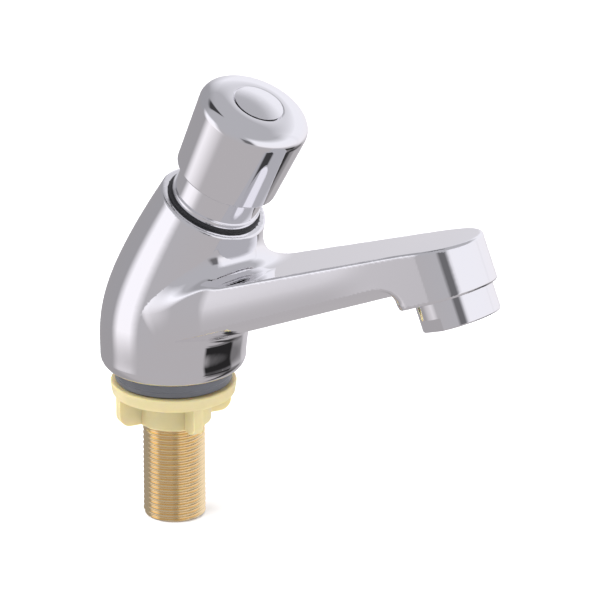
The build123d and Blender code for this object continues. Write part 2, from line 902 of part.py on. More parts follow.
# Flow regulator over the screen
with BuildPart() as flow_regulator:
    with BuildSketch(outlet_level(regulator_bottom)):
        Circle(insert_radius)
        with PolarLocations(regulator_hole_ring_radius, regulator_hole_count):
            Circle(regulator_hole_radius, mode=Mode.SUBTRACT)
    extrude(amount=regulator_thickness)

# Gasket between the housing and the head
with BuildPart() as aerator_gasket:
    with BuildSketch(outlet_level(aerator_top + assembly_gap)):
        Circle(aerator_thread_radius)
        Circle(gasket_inner_radius, mode=Mode.SUBTRACT)
    extrude(amount=aerator_bore_top - aerator_top - 2 * assembly_gap)

# Return spring: quarter turns of a coil, each one tangent to the last
with BuildPart() as return_spring:
    with BuildLine() as spring_path:
        for quarter in range(spring_turns * 4):
            TangentArc(
                spring_point(quarter),
                spring_point(quarter + 1),
                tangent=spring_tangent(quarter),
            )
    with BuildSketch(Plane(origin=spring_point(0), z_dir=spring_tangent(0))):
        Circle(spring_wire_radius)
    sweep(path=spring_path.wires()[0])

# Button cap: skirt, crown and the hollow boss that stands on the spindle's collar
with BuildPart() as button_cap:
    with BuildSketch(button_side) as cap_profile:
        with BuildLine():
            Polyline(
                (index_pocket_radius, index_pocket_edge),
                (index_pocket_radius, index_pocket_floor),
                (screw_recess_radius, index_pocket_floor),
                (screw_recess_radius, screw_recess_floor),
                (screw_shank_radius + assembly_gap, screw_recess_floor),
                (screw_shank_radius + assembly_gap, cap_ceiling),
                (spindle_radius + assembly_gap, cap_ceiling),
                (spindle_radius + assembly_gap, cap_boss_bottom),
                (cap_boss_radius, cap_boss_bottom),
                (cap_boss_radius, cap_ceiling),
                (cap_bore_radius, cap_ceiling),
                (cap_bore_radius, cap_bottom),
                (cap_bottom_radius, cap_bottom),
                (cap_waist_radius, cap_waist_height),
                (cap_ridge_radius, cap_ridge_height),
            )
            EllipticalCenterArc(
                (cap_shoulder_radius, cap_ridge_height),
                cap_ridge_radius - cap_shoulder_radius,
                cap_crown_height - cap_ridge_height,
                start_angle=0,
                arc_size=90,
            )
            TangentArc(
                (cap_shoulder_radius, cap_crown_height),
                (index_pocket_radius, index_pocket_edge),
                tangent=(-1, 0),
            )
        make_face()
        fillet(
            cap_profile.vertices().sort_by_distance((cap_bottom_radius, cap_bottom))[0],
            radius=cap_bottom_round,
        )
    revolve(axis=button_axis)

# Domed index disc in the cap's crown
with BuildPart() as index_disc:
    with BuildSketch(button_side):
        with BuildLine():
            Polyline(
                (index_radius, index_pocket_floor + index_rim_height),
                (index_radius, index_pocket_floor),
                (0, index_pocket_floor),
                (0, index_pocket_floor + index_rim_height + index_dome_height),
            )
            TangentArc(
                (0, index_pocket_floor + index_rim_height + index_dome_height),
                (index_radius, index_pocket_floor + index_rim_height),
                tangent=(1, 0),
            )
        make_face()
    revolve(axis=button_axis)

# Screw that holds the cap on the spindle
with BuildPart() as cap_screw:
    with BuildSketch(button_level(screw_recess_floor)):
        Circle(screw_head_radius)
    extrude(amount=screw_head_height)
    with BuildSketch(button_level(screw_recess_floor)):
        Circle(screw_shank_radius)
    extrude(amount=-screw_length)
    with BuildSketch(button_level(screw_recess_floor + screw_head_height)):
        RegularPolygon(screw_socket_width / 2, side_count=6, major_radius=False)
    extrude(amount=-screw_socket_depth, mode=Mode.SUBTRACT)

# Spindle with the collar that carries the spring, a tapped top and a slim foot
with BuildPart() as spindle:
    with BuildSketch(button_side):
        with BuildLine():
            Polyline(
                (0, -valve_bottom_depth),
                (spindle_foot_radius, -valve_bottom_depth),
                (spindle_foot_radius, -valve_top_depth),
                (spindle_radius, -valve_top_depth),
                (spindle_radius, spindle_collar_bottom),
                (spindle_collar_radius, spindle_collar_bottom),
                (spindle_collar_radius, spindle_collar_bottom + spindle_collar_thickness),
                (spindle_radius, spindle_collar_bottom + spindle_collar_thickness),
                (spindle_radius, cap_ceiling - assembly_gap),
                (screw_shank_radius + assembly_gap, cap_ceiling - assembly_gap),
                (screw_shank_radius + assembly_gap, tapped_hole_bottom),
                (0, tapped_hole_bottom),
                close=True,
            )
        make_face()
    revolve(axis=button_axis)

# Piston, grooved for its lip seal, with the small metering hole
with BuildPart() as piston:
    with BuildSketch(button_side):
        with BuildLine():
            Polyline(
                (spindle_radius + assembly_gap, -piston_top_depth),
                (spindle_radius + assembly_gap, -piston_height - piston_top_depth),
                (piston_radius, -piston_height - piston_top_depth),
                (piston_radius, -piston_groove_width / 2 - piston_middle_depth),
                (piston_groove_floor, -piston_groove_width / 2 - piston_middle_depth),
                (piston_groove_floor, piston_groove_width / 2 - piston_middle_depth),
                (piston_radius, piston_groove_width / 2 - piston_middle_depth),
                (piston_radius, -piston_top_depth),
                close=True,
            )
        make_face()
    revolve(axis=button_axis)
    with BuildSketch(button_level(-piston_height - piston_top_depth)):
        with Locations((metering_offset, 0)):
            Circle(metering_hole_radius)
    extrude(amount=piston_height, mode=Mode.SUBTRACT)

# Lip seal in the piston's groove, open downwards
with BuildPart() as piston_lip_seal:
    with BuildSketch(button_side):
        with BuildLine():
            Polyline(
                (lip_seal_inner_radius, lip_seal_height / 2 - piston_middle_depth),
                (lip_seal_inner_radius, -lip_seal_height / 2 - piston_middle_depth),
                (lip_seal_valley_radius, -piston_middle_depth),
                (lip_seal_radius, -lip_seal_height / 2 - piston_middle_depth),
                (lip_seal_radius, -lip_seal_height / 4 - piston_middle_depth),
                (piston_radius, lip_seal_height / 2 - piston_middle_depth),
                close=True,
            )
        make_face()
    revolve(axis=button_axis)

# Rubber washer that closes against the seat
with BuildPart() as valve_washer:
    with BuildSketch(button_level(-valve_top_depth)):
        Circle(valve_washer_radius)
        Circle(spindle_foot_radius + assembly_gap, mode=Mode.SUBTRACT)
    extrude(amount=-valve_washer_thickness)

# Disc that backs the washer
with BuildPart() as valve_disc:
    with BuildSketch(button_level(-valve_top_depth - valve_washer_thickness)):
        Circle(valve_disc_radius)
        Circle(spindle_foot_radius + assembly_gap, mode=Mode.SUBTRACT)
    extrude(amount=-valve_disc_thickness)

# Nut that holds the washer and its disc on the spindle
with BuildPart() as valve_nut:
    with BuildSketch(button_level(-valve_bottom_depth)):
        RegularPolygon(valve_nut_width / 2, side_count=6, major_radius=False)
        Circle(spindle_foot_radius + assembly_gap, mode=Mode.SUBTRACT)
    extrude(amount=valve_nut_height)

# Back nut: a flange, a hub and wings to turn it by hand
with BuildPart() as back_nut:
    with BuildSketch(Plane.XZ) as nut_profile:
        with BuildLine():
            Polyline(
                (nut_bore_radius, -nut_flange_top),
                (nut_flange_top_radius, -nut_flange_top),
                (nut_flange_bottom_radius, -nut_flange_bottom),
                (nut_hub_radius, -nut_flange_bottom),
                (nut_hub_radius, -nut_hub_bottom),
                (nut_bore_radius, -nut_hub_bottom),
                close=True,
            )
        make_face()
        nut_corners = nut_profile.vertices()
        fillet(
            [
                nut_corners.sort_by_distance((nut_flange_top_radius, -nut_flange_top))[0],
                nut_corners.sort_by_distance((nut_flange_bottom_radius, -nut_flange_bottom))[0],
                nut_corners.sort_by_distance((nut_hub_radius, -nut_hub_bottom))[0],
            ],
            radius=nut_edge_round,
        )
    revolve(axis=Axis.Z)
    with BuildSketch(*nut_wing_planes) as wing_profile:
        with BuildLine():
            Polyline(
                (nut_wing_root_radius, -nut_flange_bottom + nut_edge_round),
                (nut_wing_root_radius, -nut_wing_bottom),
                (nut_wing_radius - nut_wing_round, -nut_wing_bottom),
            )
            TangentArc(
                (nut_wing_radius - nut_wing_round, -nut_wing_bottom),
                (nut_wing_radius, nut_wing_round - nut_wing_bottom),
                tangent=(1, 0),
            )
            Polyline(
                (nut_wing_radius, nut_wing_round - nut_wing_bottom),
                (nut_wing_radius, -nut_flange_bottom + nut_edge_round),
                (nut_wing_root_radius, -nut_flange_bottom + nut_edge_round),
            )
        make_face()
    extrude(amount=nut_wing_thickness / 2, both=True)

body_casting.part.label = "body_casting"
threaded_shank.part.label = "threaded_shank"
shank_o_ring.part.label = "shank_o_ring"
base_ring.part.label = "base_ring"
inlet_filter.part.label = "inlet_filter"
valve_seat.part.label = "valve_seat"
cartridge_cylinder.part.label = "cartridge_cylinder"
cylinder_o_ring.part.label = "cylinder_o_ring"
guide_bush.part.label = "guide_bush"
spindle_o_ring.part.label = "spindle_o_ring"
metering_pin.part.label = "metering_pin"
guide_sleeve.part.label = "guide_sleeve"
mouth_seal.part.label = "mouth_seal"
aerator_housing.part.label = "aerator_housing"
aerator_insert.part.label = "aerator_insert"
aerator_screen.part.label = "aerator_screen"
flow_regulator.part.label = "flow_regulator"
aerator_gasket.part.label = "aerator_gasket"
return_spring.part.label = "return_spring"
button_cap.part.label = "button_cap"
index_disc.part.label = "index_disc"
cap_screw.part.label = "cap_screw"
spindle.part.label = "spindle"
piston.part.label = "piston"
piston_lip_seal.part.label = "piston_lip_seal"
valve_washer.part.label = "valve_washer"
valve_disc.part.label = "valve_disc"
valve_nut.part.label = "valve_nut"
back_nut.part.label = "back_nut"

if __name__ == "__main__":
    os.makedirs("parts", exist_ok=True)
    export_step(body_casting.part, "parts/body_casting.step")
    export_step(threaded_shank.part, "parts/threaded_shank.step")
    export_step(shank_o_ring.part, "parts/shank_o_ring.step")
    export_step(base_ring.part, "parts/base_ring.step")
    export_step(inlet_filter.part, "parts/inlet_filter.step")
    export_step(valve_seat.part, "parts/valve_seat.step")
    export_step(cartridge_cylinder.part, "parts/cartridge_cylinder.step")
    export_step(cylinder_o_ring.part, "parts/cylinder_o_ring.step")
    export_step(guide_bush.part, "parts/guide_bush.step")
    export_step(spindle_o_ring.part, "parts/spindle_o_ring.step")
    export_step(metering_pin.part, "parts/metering_pin.step")
    export_step(guide_sleeve.part, "parts/guide_sleeve.step")
    export_step(mouth_seal.part, "parts/mouth_seal.step")
    export_step(aerator_housing.part, "parts/aerator_housing.step")
    export_step(aerator_insert.part, "parts/aerator_insert.step")
    export_step(aerator_screen.part, "parts/aerator_screen.step")
    export_step(flow_regulator.part, "parts/flow_regulator.step")
    export_step(aerator_gasket.part, "parts/aerator_gasket.step")
    export_step(return_spring.part, "parts/return_spring.step")
    export_step(button_cap.part, "parts/button_cap.step")
    export_step(index_disc.part, "parts/index_disc.step")
    export_step(cap_screw.part, "parts/cap_screw.step")
    export_step(spindle.part, "parts/spindle.step")
    export_step(piston.part, "parts/piston.step")
    export_step(piston_lip_seal.part, "parts/piston_lip_seal.step")
    export_step(valve_washer.part, "parts/valve_washer.step")
    export_step(valve_disc.part, "parts/valve_disc.step")
    export_step(valve_nut.part, "parts/valve_nut.step")
    export_step(back_nut.part, "parts/back_nut.step")
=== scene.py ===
"""Looks of the push timed basin tap: the smooth chromed body, the turned cap, the cut thread,
the wound spring, the moulded and rubber surfaces, and a plain studio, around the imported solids.

Metres, +Z up, +X towards the outlet. Sizes that are written in millimetres say so in their names.
"""

from math import cos, pi, radians, sin, sqrt, tan

import bmesh
import bpy
import numpy as np
from bpy.props import FloatProperty, FloatVectorProperty, PointerProperty
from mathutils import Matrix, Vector


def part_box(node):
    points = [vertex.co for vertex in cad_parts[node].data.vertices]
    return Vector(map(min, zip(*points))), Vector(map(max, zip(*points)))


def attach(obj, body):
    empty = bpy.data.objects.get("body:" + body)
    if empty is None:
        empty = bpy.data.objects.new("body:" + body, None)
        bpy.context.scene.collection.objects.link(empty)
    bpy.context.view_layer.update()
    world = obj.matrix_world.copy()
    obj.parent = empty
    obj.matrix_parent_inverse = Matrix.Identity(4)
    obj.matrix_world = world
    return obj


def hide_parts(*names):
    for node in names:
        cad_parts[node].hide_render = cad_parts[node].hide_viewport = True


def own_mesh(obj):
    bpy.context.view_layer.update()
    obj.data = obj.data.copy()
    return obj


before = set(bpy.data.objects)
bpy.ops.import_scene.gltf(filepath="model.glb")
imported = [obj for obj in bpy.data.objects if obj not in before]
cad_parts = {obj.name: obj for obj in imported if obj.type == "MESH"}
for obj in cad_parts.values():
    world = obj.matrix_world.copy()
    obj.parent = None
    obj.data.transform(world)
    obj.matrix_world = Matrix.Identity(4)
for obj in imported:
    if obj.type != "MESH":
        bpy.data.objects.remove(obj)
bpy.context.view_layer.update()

bl_info = {
    "name": "Push timed basin tap",
    "version": (1, 0, 0),
    "blender": (4, 5, 0),
    "location": "View3D > Sidebar > Tap",
    "description": "Dresses the packed tap and sets it in a plain studio",
    "category": "Object",
}

MM = 0.001

# Button axis and outlet axis, as the solids have them
BUTTON_LEAN = radians(25.8)
MOUTH_MM = np.array([17.2, 0.0, 65.9])
BUTTON_UP = np.array([sin(BUTTON_LEAN), 0.0, cos(BUTTON_LEAN)])
BUTTON_FORWARD = np.array([cos(BUTTON_LEAN), 0.0, -sin(BUTTON_LEAN)])
OUTLET_LEAN = radians(22.3)
OUTLET_MM = np.array([115.9, 0.0, 46.7])
OUTLET_UP = np.array([-sin(OUTLET_LEAN), 0.0, cos(OUTLET_LEAN)])
OUTLET_FORWARD = np.array([cos(OUTLET_LEAN), 0.0, sin(OUTLET_LEAN)])


# Sizes and colours that can be changed in the panel


class TapSizes(bpy.types.PropertyGroup):
    """Sizes of what the scene adds to the solids."""

    shell_cell: FloatProperty(
        name="Body mesh size",
        description="Edge of the cells from which the body's smooth shell is drawn",
        default=0.00075,
        min=0.0004,
        unit="LENGTH",
    )
    crotch_round: FloatProperty(
        name="Blend above the spout",
        description="Radius of the hollow between the barrel and the spout's top",
        default=0.012,
        unit="LENGTH",
    )
    root_round: FloatProperty(
        name="Blend below the spout",
        description="Radius of the hollow between the barrel and the spout's underside",
        default=0.0025,
        unit="LENGTH",
    )
    thread_pitch: FloatProperty(
        name="Thread pitch",
        description="Rise of the shank's thread in one turn",
        default=0.001814,
        unit="LENGTH",
    )
    thread_depth: FloatProperty(
        name="Thread depth",
        description="Height of the thread's ridges",
        default=0.00088,
        unit="LENGTH",
    )


class TapFinishes(bpy.types.PropertyGroup):
    """Colours of the tap's finishes."""

    chrome: FloatVectorProperty(
        name="Chrome",
        description="Tint of the plated surfaces",
        default=(0.955, 0.95, 0.965),
        subtype="COLOR",
        size=3,
    )
    brass: FloatVectorProperty(
        name="Brass",
        description="Colour of the turned shank",
        default=(1.0, 0.79, 0.47),
        subtype="COLOR",
        size=3,
    )
    nut: FloatVectorProperty(
        name="Back nut",
        description="Colour of the moulded nut",
        default=(0.67, 0.59, 0.33),
        subtype="COLOR",
        size=3,
    )
    rubber: FloatVectorProperty(
        name="Rubber",
        description="Colour of the seals",
        default=(0.012, 0.012, 0.014),
        subtype="COLOR",
        size=3,
    )
    ring: FloatVectorProperty(
        name="Base ring",
        description="Colour of the ring that the body stands on",
        default=(0.13, 0.135, 0.15),
        subtype="COLOR",
        size=3,
    )
    plastic: FloatVectorProperty(
        name="White plastic",
        description="Colour of the cartridge and of the aerator's insert",
        default=(0.80, 0.80, 0.78),
        subtype="COLOR",
        size=3,
    )
    steel: FloatVectorProperty(
        name="Stainless steel",
        description="Colour of the spring, the screw and the screen",
        default=(0.62, 0.62, 0.63),
        subtype="COLOR",
        size=3,
    )


class TapStudio(bpy.types.PropertyGroup):
    """Camera and light of the plain studio."""

    azimuth: FloatProperty(
        name="Azimuth",
        description="Direction of the camera round the tap",
        default=radians(35.49),
        subtype="ANGLE",
    )
    elevation: FloatProperty(
        name="Elevation",
        description="Height of the camera above the horizon",
        default=radians(21.13),
        subtype="ANGLE",
    )
    distance: FloatProperty(
        name="Distance",
        description="Distance from the camera to the point it looks at",
        default=1.8,
        unit="LENGTH",
    )
    lens: FloatProperty(
        name="Lens",
        description="Focal length, in millimetres on a 36 mm sensor",
        default=329.9,
    )
    backdrop: FloatVectorProperty(
        name="Backdrop",
        description="Colour of the floor and of the air behind the tap",
        default=(0.93, 0.93, 0.93),
        subtype="COLOR",
        size=3,
    )


# Shader node groups shared by the finishes


def new_group(name, inputs, outputs):
    """An empty shader node group with named float inputs and outputs."""
    group = bpy.data.node_groups.new(name, "ShaderNodeTree")
    for label, value in inputs:
        socket = group.interface.new_socket(label, in_out="INPUT", socket_type="NodeSocketFloat")
        socket.default_value = value
    for label, kind in outputs:
        group.interface.new_socket(label, in_out="OUTPUT", socket_type=kind)
    enter = group.nodes.new("NodeGroupInput")
    leave = group.nodes.new("NodeGroupOutput")
    return group, enter, leave


def noise(tree, position, scale_from, detail=3.0):
    """A noise texture in object space whose scale comes from a socket or a number."""
    node = tree.nodes.new("ShaderNodeTexNoise")
    node.inputs["Detail"].default_value = detail
    tree.links.new(position, node.inputs["Vector"])
    if isinstance(scale_from, (int, float)):
        node.inputs["Scale"].default_value = scale_from
    else:
        tree.links.new(scale_from, node.inputs["Scale"])
    return node.outputs["Fac"]


def remap(tree, value, low, high, from_low=0.3, from_high=0.7):
    """Maps a value onto the span between two sockets or numbers."""
    node = tree.nodes.new("ShaderNodeMapRange")
    node.inputs["From Min"].default_value = from_low
    node.inputs["From Max"].default_value = from_high
    tree.links.new(value, node.inputs["Value"])
    for name, end in (("To Min", low), ("To Max", high)):
        if isinstance(end, (int, float)):
            node.inputs[name].default_value = end
        else:
            tree.links.new(end, node.inputs[name])
    return node.outputs["Result"]


def object_space(tree):
    """Texture position in the object's own space."""
    return tree.nodes.new("ShaderNodeTexCoord").outputs["Object"]


def make_polish_group():
    """Plating or polish: a faint orange peel, and hazy patches where the shine is less even."""
    group, enter, leave = new_group(
        "polish",
        [("Wave Scale", 90.0), ("Haze Scale", 60.0), ("Roughness Low", 0.03), ("Roughness High", 0.06)],
        [("Roughness", "NodeSocketFloat"), ("Height", "NodeSocketFloat")],
    )
    place = object_space(group)
    haze = noise(group, place, enter.outputs["Haze Scale"], 4.0)
    rough = remap(group, haze, enter.outputs["Roughness Low"], enter.outputs["Roughness High"])
    wave = noise(group, place, enter.outputs["Wave Scale"], 1.0)
    group.links.new(rough, leave.inputs["Roughness"])
    group.links.new(wave, leave.inputs["Height"])
    return group


def make_mould_group():
    """Moulded plastic or rubber: fine spark-eroded grain, and slow changes of shade."""
    group, enter, leave = new_group(
        "mould_grain",
        [("Grain Scale", 2500.0), ("Shade Scale", 70.0), ("Shade Low", 0.9), ("Shade High", 1.05)],
        [("Shade", "NodeSocketFloat"), ("Height", "NodeSocketFloat")],
    )
    place = object_space(group)
    shade = noise(group, place, enter.outputs["Shade Scale"], 4.0)
    grain = noise(group, place, enter.outputs["Grain Scale"], 2.0)
    shade = remap(group, shade, enter.outputs["Shade Low"], enter.outputs["Shade High"])
    group.links.new(shade, leave.inputs["Shade"])
    group.links.new(grain, leave.inputs["Height"])
    return group


def shader(name):
    """A new material with its tree, its Principled BSDF and a bump node on it."""
    material = bpy.data.materials.new(name)
    material.use_nodes = True
    tree = material.node_tree
    principled = tree.nodes["Principled BSDF"]
    bump = tree.nodes.new("ShaderNodeBump")
    tree.links.new(bump.outputs["Normal"], principled.inputs["Normal"])
    return material, tree, principled, bump


def use_group(tree, group, **values):
    """Places a node group in a material with its own values."""
    node = tree.nodes.new("ShaderNodeGroup")
    node.node_tree = group
    for name, value in values.items():
        node.inputs[name.replace("_", " ")].default_value = value
    return node


def tinted(tree, colour, shade):
    """A colour times a shade that changes over the surface."""
    mix = tree.nodes.new("ShaderNodeVectorMath")
    mix.operation = "SCALE"
    mix.inputs[0].default_value = colour
    tree.links.new(shade, mix.inputs["Scale"])
    return mix.outputs["Vector"]


def make_polished(name, group, colour, low, high, wave=0.02, wave_scale=90.0):
    """A bare or plated metal with a polish."""
    material, tree, principled, bump = shader(name)
    principled.inputs["Base Color"].default_value = (*colour, 1)
    principled.inputs["Metallic"].default_value = 1.0
    polish = use_group(
        tree, group, Roughness_Low=low, Roughness_High=high, Wave_Scale=wave_scale
    )
    tree.links.new(polish.outputs["Roughness"], principled.inputs["Roughness"])
    bump.inputs["Strength"].default_value = wave
    bump.inputs["Distance"].default_value = 0.0005
    tree.links.new(polish.outputs["Height"], bump.inputs["Height"])
    return material


def make_moulded(name, group, colour, roughness, grain=0.15, grain_scale=2500.0, soft=0.0):
    """A moulded plastic or rubber, which may let some light through."""
    material, tree, principled, bump = shader(name)
    mould = use_group(tree, group, Grain_Scale=grain_scale)
    tree.links.new(tinted(tree, colour, mould.outputs["Shade"]), principled.inputs["Base Color"])
    principled.inputs["Roughness"].default_value = roughness
    bump.inputs["Strength"].default_value = grain
    bump.inputs["Distance"].default_value = 0.0001
    tree.links.new(mould.outputs["Height"], bump.inputs["Height"])
    if soft:
        principled.inputs["Subsurface Weight"].default_value = soft
        principled.inputs["Subsurface Radius"].default_value = (1.0, 0.7, 0.2)
        principled.inputs["Subsurface Scale"].default_value = 0.003
    return material


def make_finishes(finishes):
    """Every material of the tap, by name."""
    polish = make_polish_group()
    mould = make_mould_group()
    return {
        "chrome": make_polished("chrome_plate", polish, finishes.chrome, 0.008, 0.02, 0.006),
        "satin": make_polished("pearl_chrome", polish, finishes.chrome, 0.12, 0.18, 0.03),
        "brass": make_polished("turned_brass", polish, finishes.brass, 0.12, 0.17, 0.03, 900.0),
        "steel": make_polished("drawn_steel", polish, finishes.steel, 0.22, 0.34, 0.1, 700.0),
        "nut": make_moulded("nut_plastic", mould, finishes.nut, 0.36, 0.1, 1800.0, 0.6),
        "rubber": make_moulded("black_rubber", mould, finishes.rubber, 0.42, 0.3),
        "ring": make_moulded("base_ring_rubber", mould, finishes.ring, 0.28, 0.1),
        "plastic": make_moulded("white_plastic", mould, finishes.plastic, 0.4, 0.15),
    }


def finish(name):
    """The material of that name, made on first use."""
    store = finish.__dict__.setdefault("made", {})
    if not store:
        store.update(make_finishes(bpy.context.scene.tap_finishes))
    return store[name]


def dress(piece, material):
    """Gives a piece or a CAD node one material."""
    piece.data.materials.clear()
    piece.data.materials.append(finish(material))
    return piece


# Mesh helpers


def make_piece(name, points, faces, body, material, nodes=(), smooth=True):
    """A mesh piece from points in millimetres, riding on a body and standing for CAD nodes."""
    mesh = bpy.data.meshes.new(name)
    mesh.from_pydata([tuple(p) for p in np.asarray(points) * MM], [], [tuple(f) for f in faces])
    mesh.update()
    if smooth:
        mesh.shade_smooth()
    piece = bpy.data.objects.new(name, mesh)
    bpy.context.scene.collection.objects.link(piece)
    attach(piece, body)
    dress(piece, material)
    if nodes:
        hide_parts(*nodes)
    return piece


def lathe(name, profile, body, material, nodes=(), tilted=False, segments=160):
    """A turned piece from a closed profile of radius and height, with its edges kept crisp."""
    profile = np.array(profile, float)
    profile = profile[np.linalg.norm(profile - np.roll(profile, 1, 0), axis=1) > 1e-6]
    count = len(profile)
    turn = np.linspace(0, 2 * pi, segments, endpoint=False)
    up = BUTTON_UP if tilted else np.array([0.0, 0.0, 1.0])
    front = BUTTON_FORWARD if tilted else np.array([1.0, 0.0, 0.0])
    origin = MOUTH_MM if tilted else np.zeros(3)
    out = np.cos(turn)[:, None] * front + np.sin(turn)[:, None] * np.array([0.0, 1.0, 0.0])
    points = origin + out[:, None] * profile[None, :, :1] + up * profile[None, :, 1:]
    ahead = (np.arange(count) + 1) % count
    i, j = np.meshgrid(np.arange(segments), np.arange(count), indexing="ij")
    i_next = (i + 1) % segments
    faces = np.stack(
        [i * count + j, i_next * count + j, i_next * count + ahead[j], i * count + ahead[j]], -1
    )
    step = profile[ahead] - profile
    length = np.linalg.norm(step, axis=1)
    normal = np.stack([step[:, 1], -step[:, 0]], 1) / length[:, None]
    area = (profile[:, 0] * profile[ahead, 1] - profile[ahead, 0] * profile[:, 1]).sum()
    if area < 0:
        normal = -normal
        faces = faces[:, :, ::-1]
    joined = (normal * normal[ahead]).sum(1) > cos(radians(32))
    weight = (normal * length[:, None] ** 2)
    blend = weight + weight[ahead]
    blend /= np.linalg.norm(blend, axis=1)[:, None]
    at_end = np.where(joined[:, None], blend, normal)
    at_start = np.where(joined[ahead - 2][:, None], blend[ahead - 2], normal)
    corners = [(i, at_start), (i_next, at_start), (i_next, at_end), (i, at_end)]
    if area < 0:
        corners = corners[::-1]
    normals = np.stack(
        [out[k] * side[None, :, :1] + up * side[None, :, 1:] for k, side in corners], -2
    )
    piece = make_piece(
        name, points.reshape(-1, 3), faces.reshape(-1, 4), body, material, nodes
    )
    piece.data.normals_split_custom_set(normals.reshape(-1, 3).tolist())
    return piece


def arc(centre, radii, start, end, steps):
    """Points of an elliptic arc between two angles in degrees."""
    angles = np.radians(np.linspace(start, end, steps + 1))
    return [(centre[0] + radii[0] * cos(a), centre[1] + radii[1] * sin(a)) for a in angles]


# Body shell, drawn as the zero surface of a signed distance


def union_round(a, b, radius):
    """Distance to either of two solids, with a hollow of a radius between them."""
    inner = np.hypot(np.maximum(radius - a, 0), np.maximum(radius - b, 0))
    return np.maximum(np.minimum(a, b), radius) - inner


def common_round(a, b, radius):
    """Distance to what two solids share, with a rounded edge of a radius between them."""
    return -union_round(-a, -b, radius)


class BodyForm:
    """The body's outside and bores, as a signed distance in millimetres."""

    foot_radius, neck_radius, neck_round, foot_top = 24.45, 19.4, 5.05, 9.5
    mouth_radius, base_height = 18.3, 2.4
    heights = (0, 0.2, 0.36, 0.5, 0.62, 0.74, 0.87, 1)
    tapers = (0, -0.06, 0, 0.147, 0.314, 0.498, 0.726, 1)
    top_height, top_rise = 33.35, radians(20.0)
    floor_height, floor_rise = 17.19, radians(23.2)
    bend_start, bend_radius = 97.0, 200.0
    head_radius, root_radius, root_offset = 15.0, 22.6, -106.68
    rim_height = 9.5
    mouth_edge, spout_edge, root_swell, swell_reach = 0.8, 0.9, 7.0, 8.0
    bow_start, bow_fade, bow_middle, bow_reach, bow_depth = 15.0, 25.0, 23.0, 10, 0.3
    belly_margin, belly_clip, belly_end, belly_round = 0.9, 3.0, 7.0, 0.8
    belly_stations, belly_depths = (5, -9.1), (6.2, 5.5)
    boss_radius, boss_flare, boss_flare_height, boss_round = 18.2, 0.2, 1.5, 7.0
    flow_start, flow_length, flow_reach = 116.0, 27.0, 9.0
    button_bores = ((16.1, -1.8), (14.0, -24.0), (12.0, -36.5), (9.5, -51.5))
    shank_bores = ((10.33, 14.4), (7.0, 26.0))
    outlet_bore, outlet_roof = 12.1, 17.5

    def __init__(self, crotch, root):
        self.crotch, self.root = crotch, root
        start = np.array([0.0, self.foot_top])
        end = MOUTH_MM[[0, 2]]
        self.spine = np.array(
            [start, start + (0, 15.8), end - 31.6 * BUTTON_UP[[0, 2]], end]
        )
        self.taper = np.polyfit(self.heights, self.tapers, 6)
        shares = np.linspace(0, 1, 65)
        self.samples = (shares, self.spine_point(shares))
        self.bend_x = self.bend_start + self.bend_radius * sin(self.top_rise)
        self.bend_z = (
            self.top_height
            + self.bend_start * tan(self.top_rise)
            - self.bend_radius * cos(self.top_rise)
        )
        self.narrowing = (self.head_radius - self.root_radius) / -self.root_offset

    def spine_point(self, u):
        """Points of the barrel's centre line, in the XZ plane."""
        u = np.asarray(u)[..., None]
        p = self.spine
        r = 1 - u
        return p[0] * r**3 + 3 * p[1] * r * r * u + 3 * p[2] * r * u * u + p[3] * u**3

    def spine_slope(self, u):
        """First and second derivatives of the centre line."""
        u = np.asarray(u)[..., None]
        p = self.spine
        r = 1 - u
        first = 3 * ((p[1] - p[0]) * r * r + 2 * (p[2] - p[1]) * r * u + (p[3] - p[2]) * u * u)
        second = 6 * ((p[2] - 2 * p[1] + p[0]) * r + (p[3] - 2 * p[2] + p[1]) * u)
        return first, second

    def barrel(self, x, y, z):
        """Distance to the bent barrel, open at both ends."""
        shares, points = self.samples
        q = np.stack([x, z], -1)
        u = np.empty(len(q))
        for i in range(0, len(q), 100000):
            part = q[i : i + 100000]
            gap = (part[:, None, 0] - points[:, 0]) ** 2 + (part[:, None, 1] - points[:, 1]) ** 2
            u[i : i + 100000] = shares[np.argmin(gap, 1)]
        for _ in range(5):
            away = self.spine_point(u) - q
            first, second = self.spine_slope(u)
            slope = (away * first).sum(-1)
            bend = (first * first).sum(-1) + (away * second).sum(-1)
            u = np.clip(u - slope / np.maximum(bend, 200.0), 0, 1)
        first, _ = self.spine_slope(u)
        first /= np.linalg.norm(first, axis=-1)[:, None]
        away = q - self.spine_point(u)
        across = away[:, 0] * first[:, 1] - away[:, 1] * first[:, 0]
        radius = self.foot_radius + (self.mouth_radius - self.foot_radius) * np.polyval(
            self.taper, u
        )
        return np.hypot(across, y) - radius

    def distance(self, p):
        """Signed distance at points, below zero inside."""
        x, y, z = p[:, 0], p[:, 1], p[:, 2]
        button = p - MOUTH_MM
        t = button @ BUTTON_UP
        button_radius = np.hypot(button @ BUTTON_FORWARD, y)
        outlet = p - OUTLET_MM
        h = outlet @ OUTLET_UP
        s = outlet @ OUTLET_FORWARD
        outlet_radius = np.hypot(s, y)
        stem = np.hypot(x, y)

        # Barrel and foot
        barrel = self.barrel(x, y, z)
        round_foot = np.hypot(np.maximum(stem - self.neck_radius, 0), self.foot_top - z)
        foot = np.minimum(stem - self.neck_radius, round_foot - self.neck_round)
        barrel = np.where(z < self.foot_top, foot, barrel)
        barrel = common_round(barrel, t, self.mouth_edge)

        # Flat top of the spout, which bends down towards the head
        run = np.minimum(x, self.bend_start)
        bend = np.sqrt(np.maximum(self.bend_radius**2 - (x - self.bend_x) ** 2, 0))
        top = np.where(
            x > self.bend_start, self.bend_z + bend, self.top_height + run * tan(self.top_rise)
        )
        above = (z - top) * cos(self.top_rise)

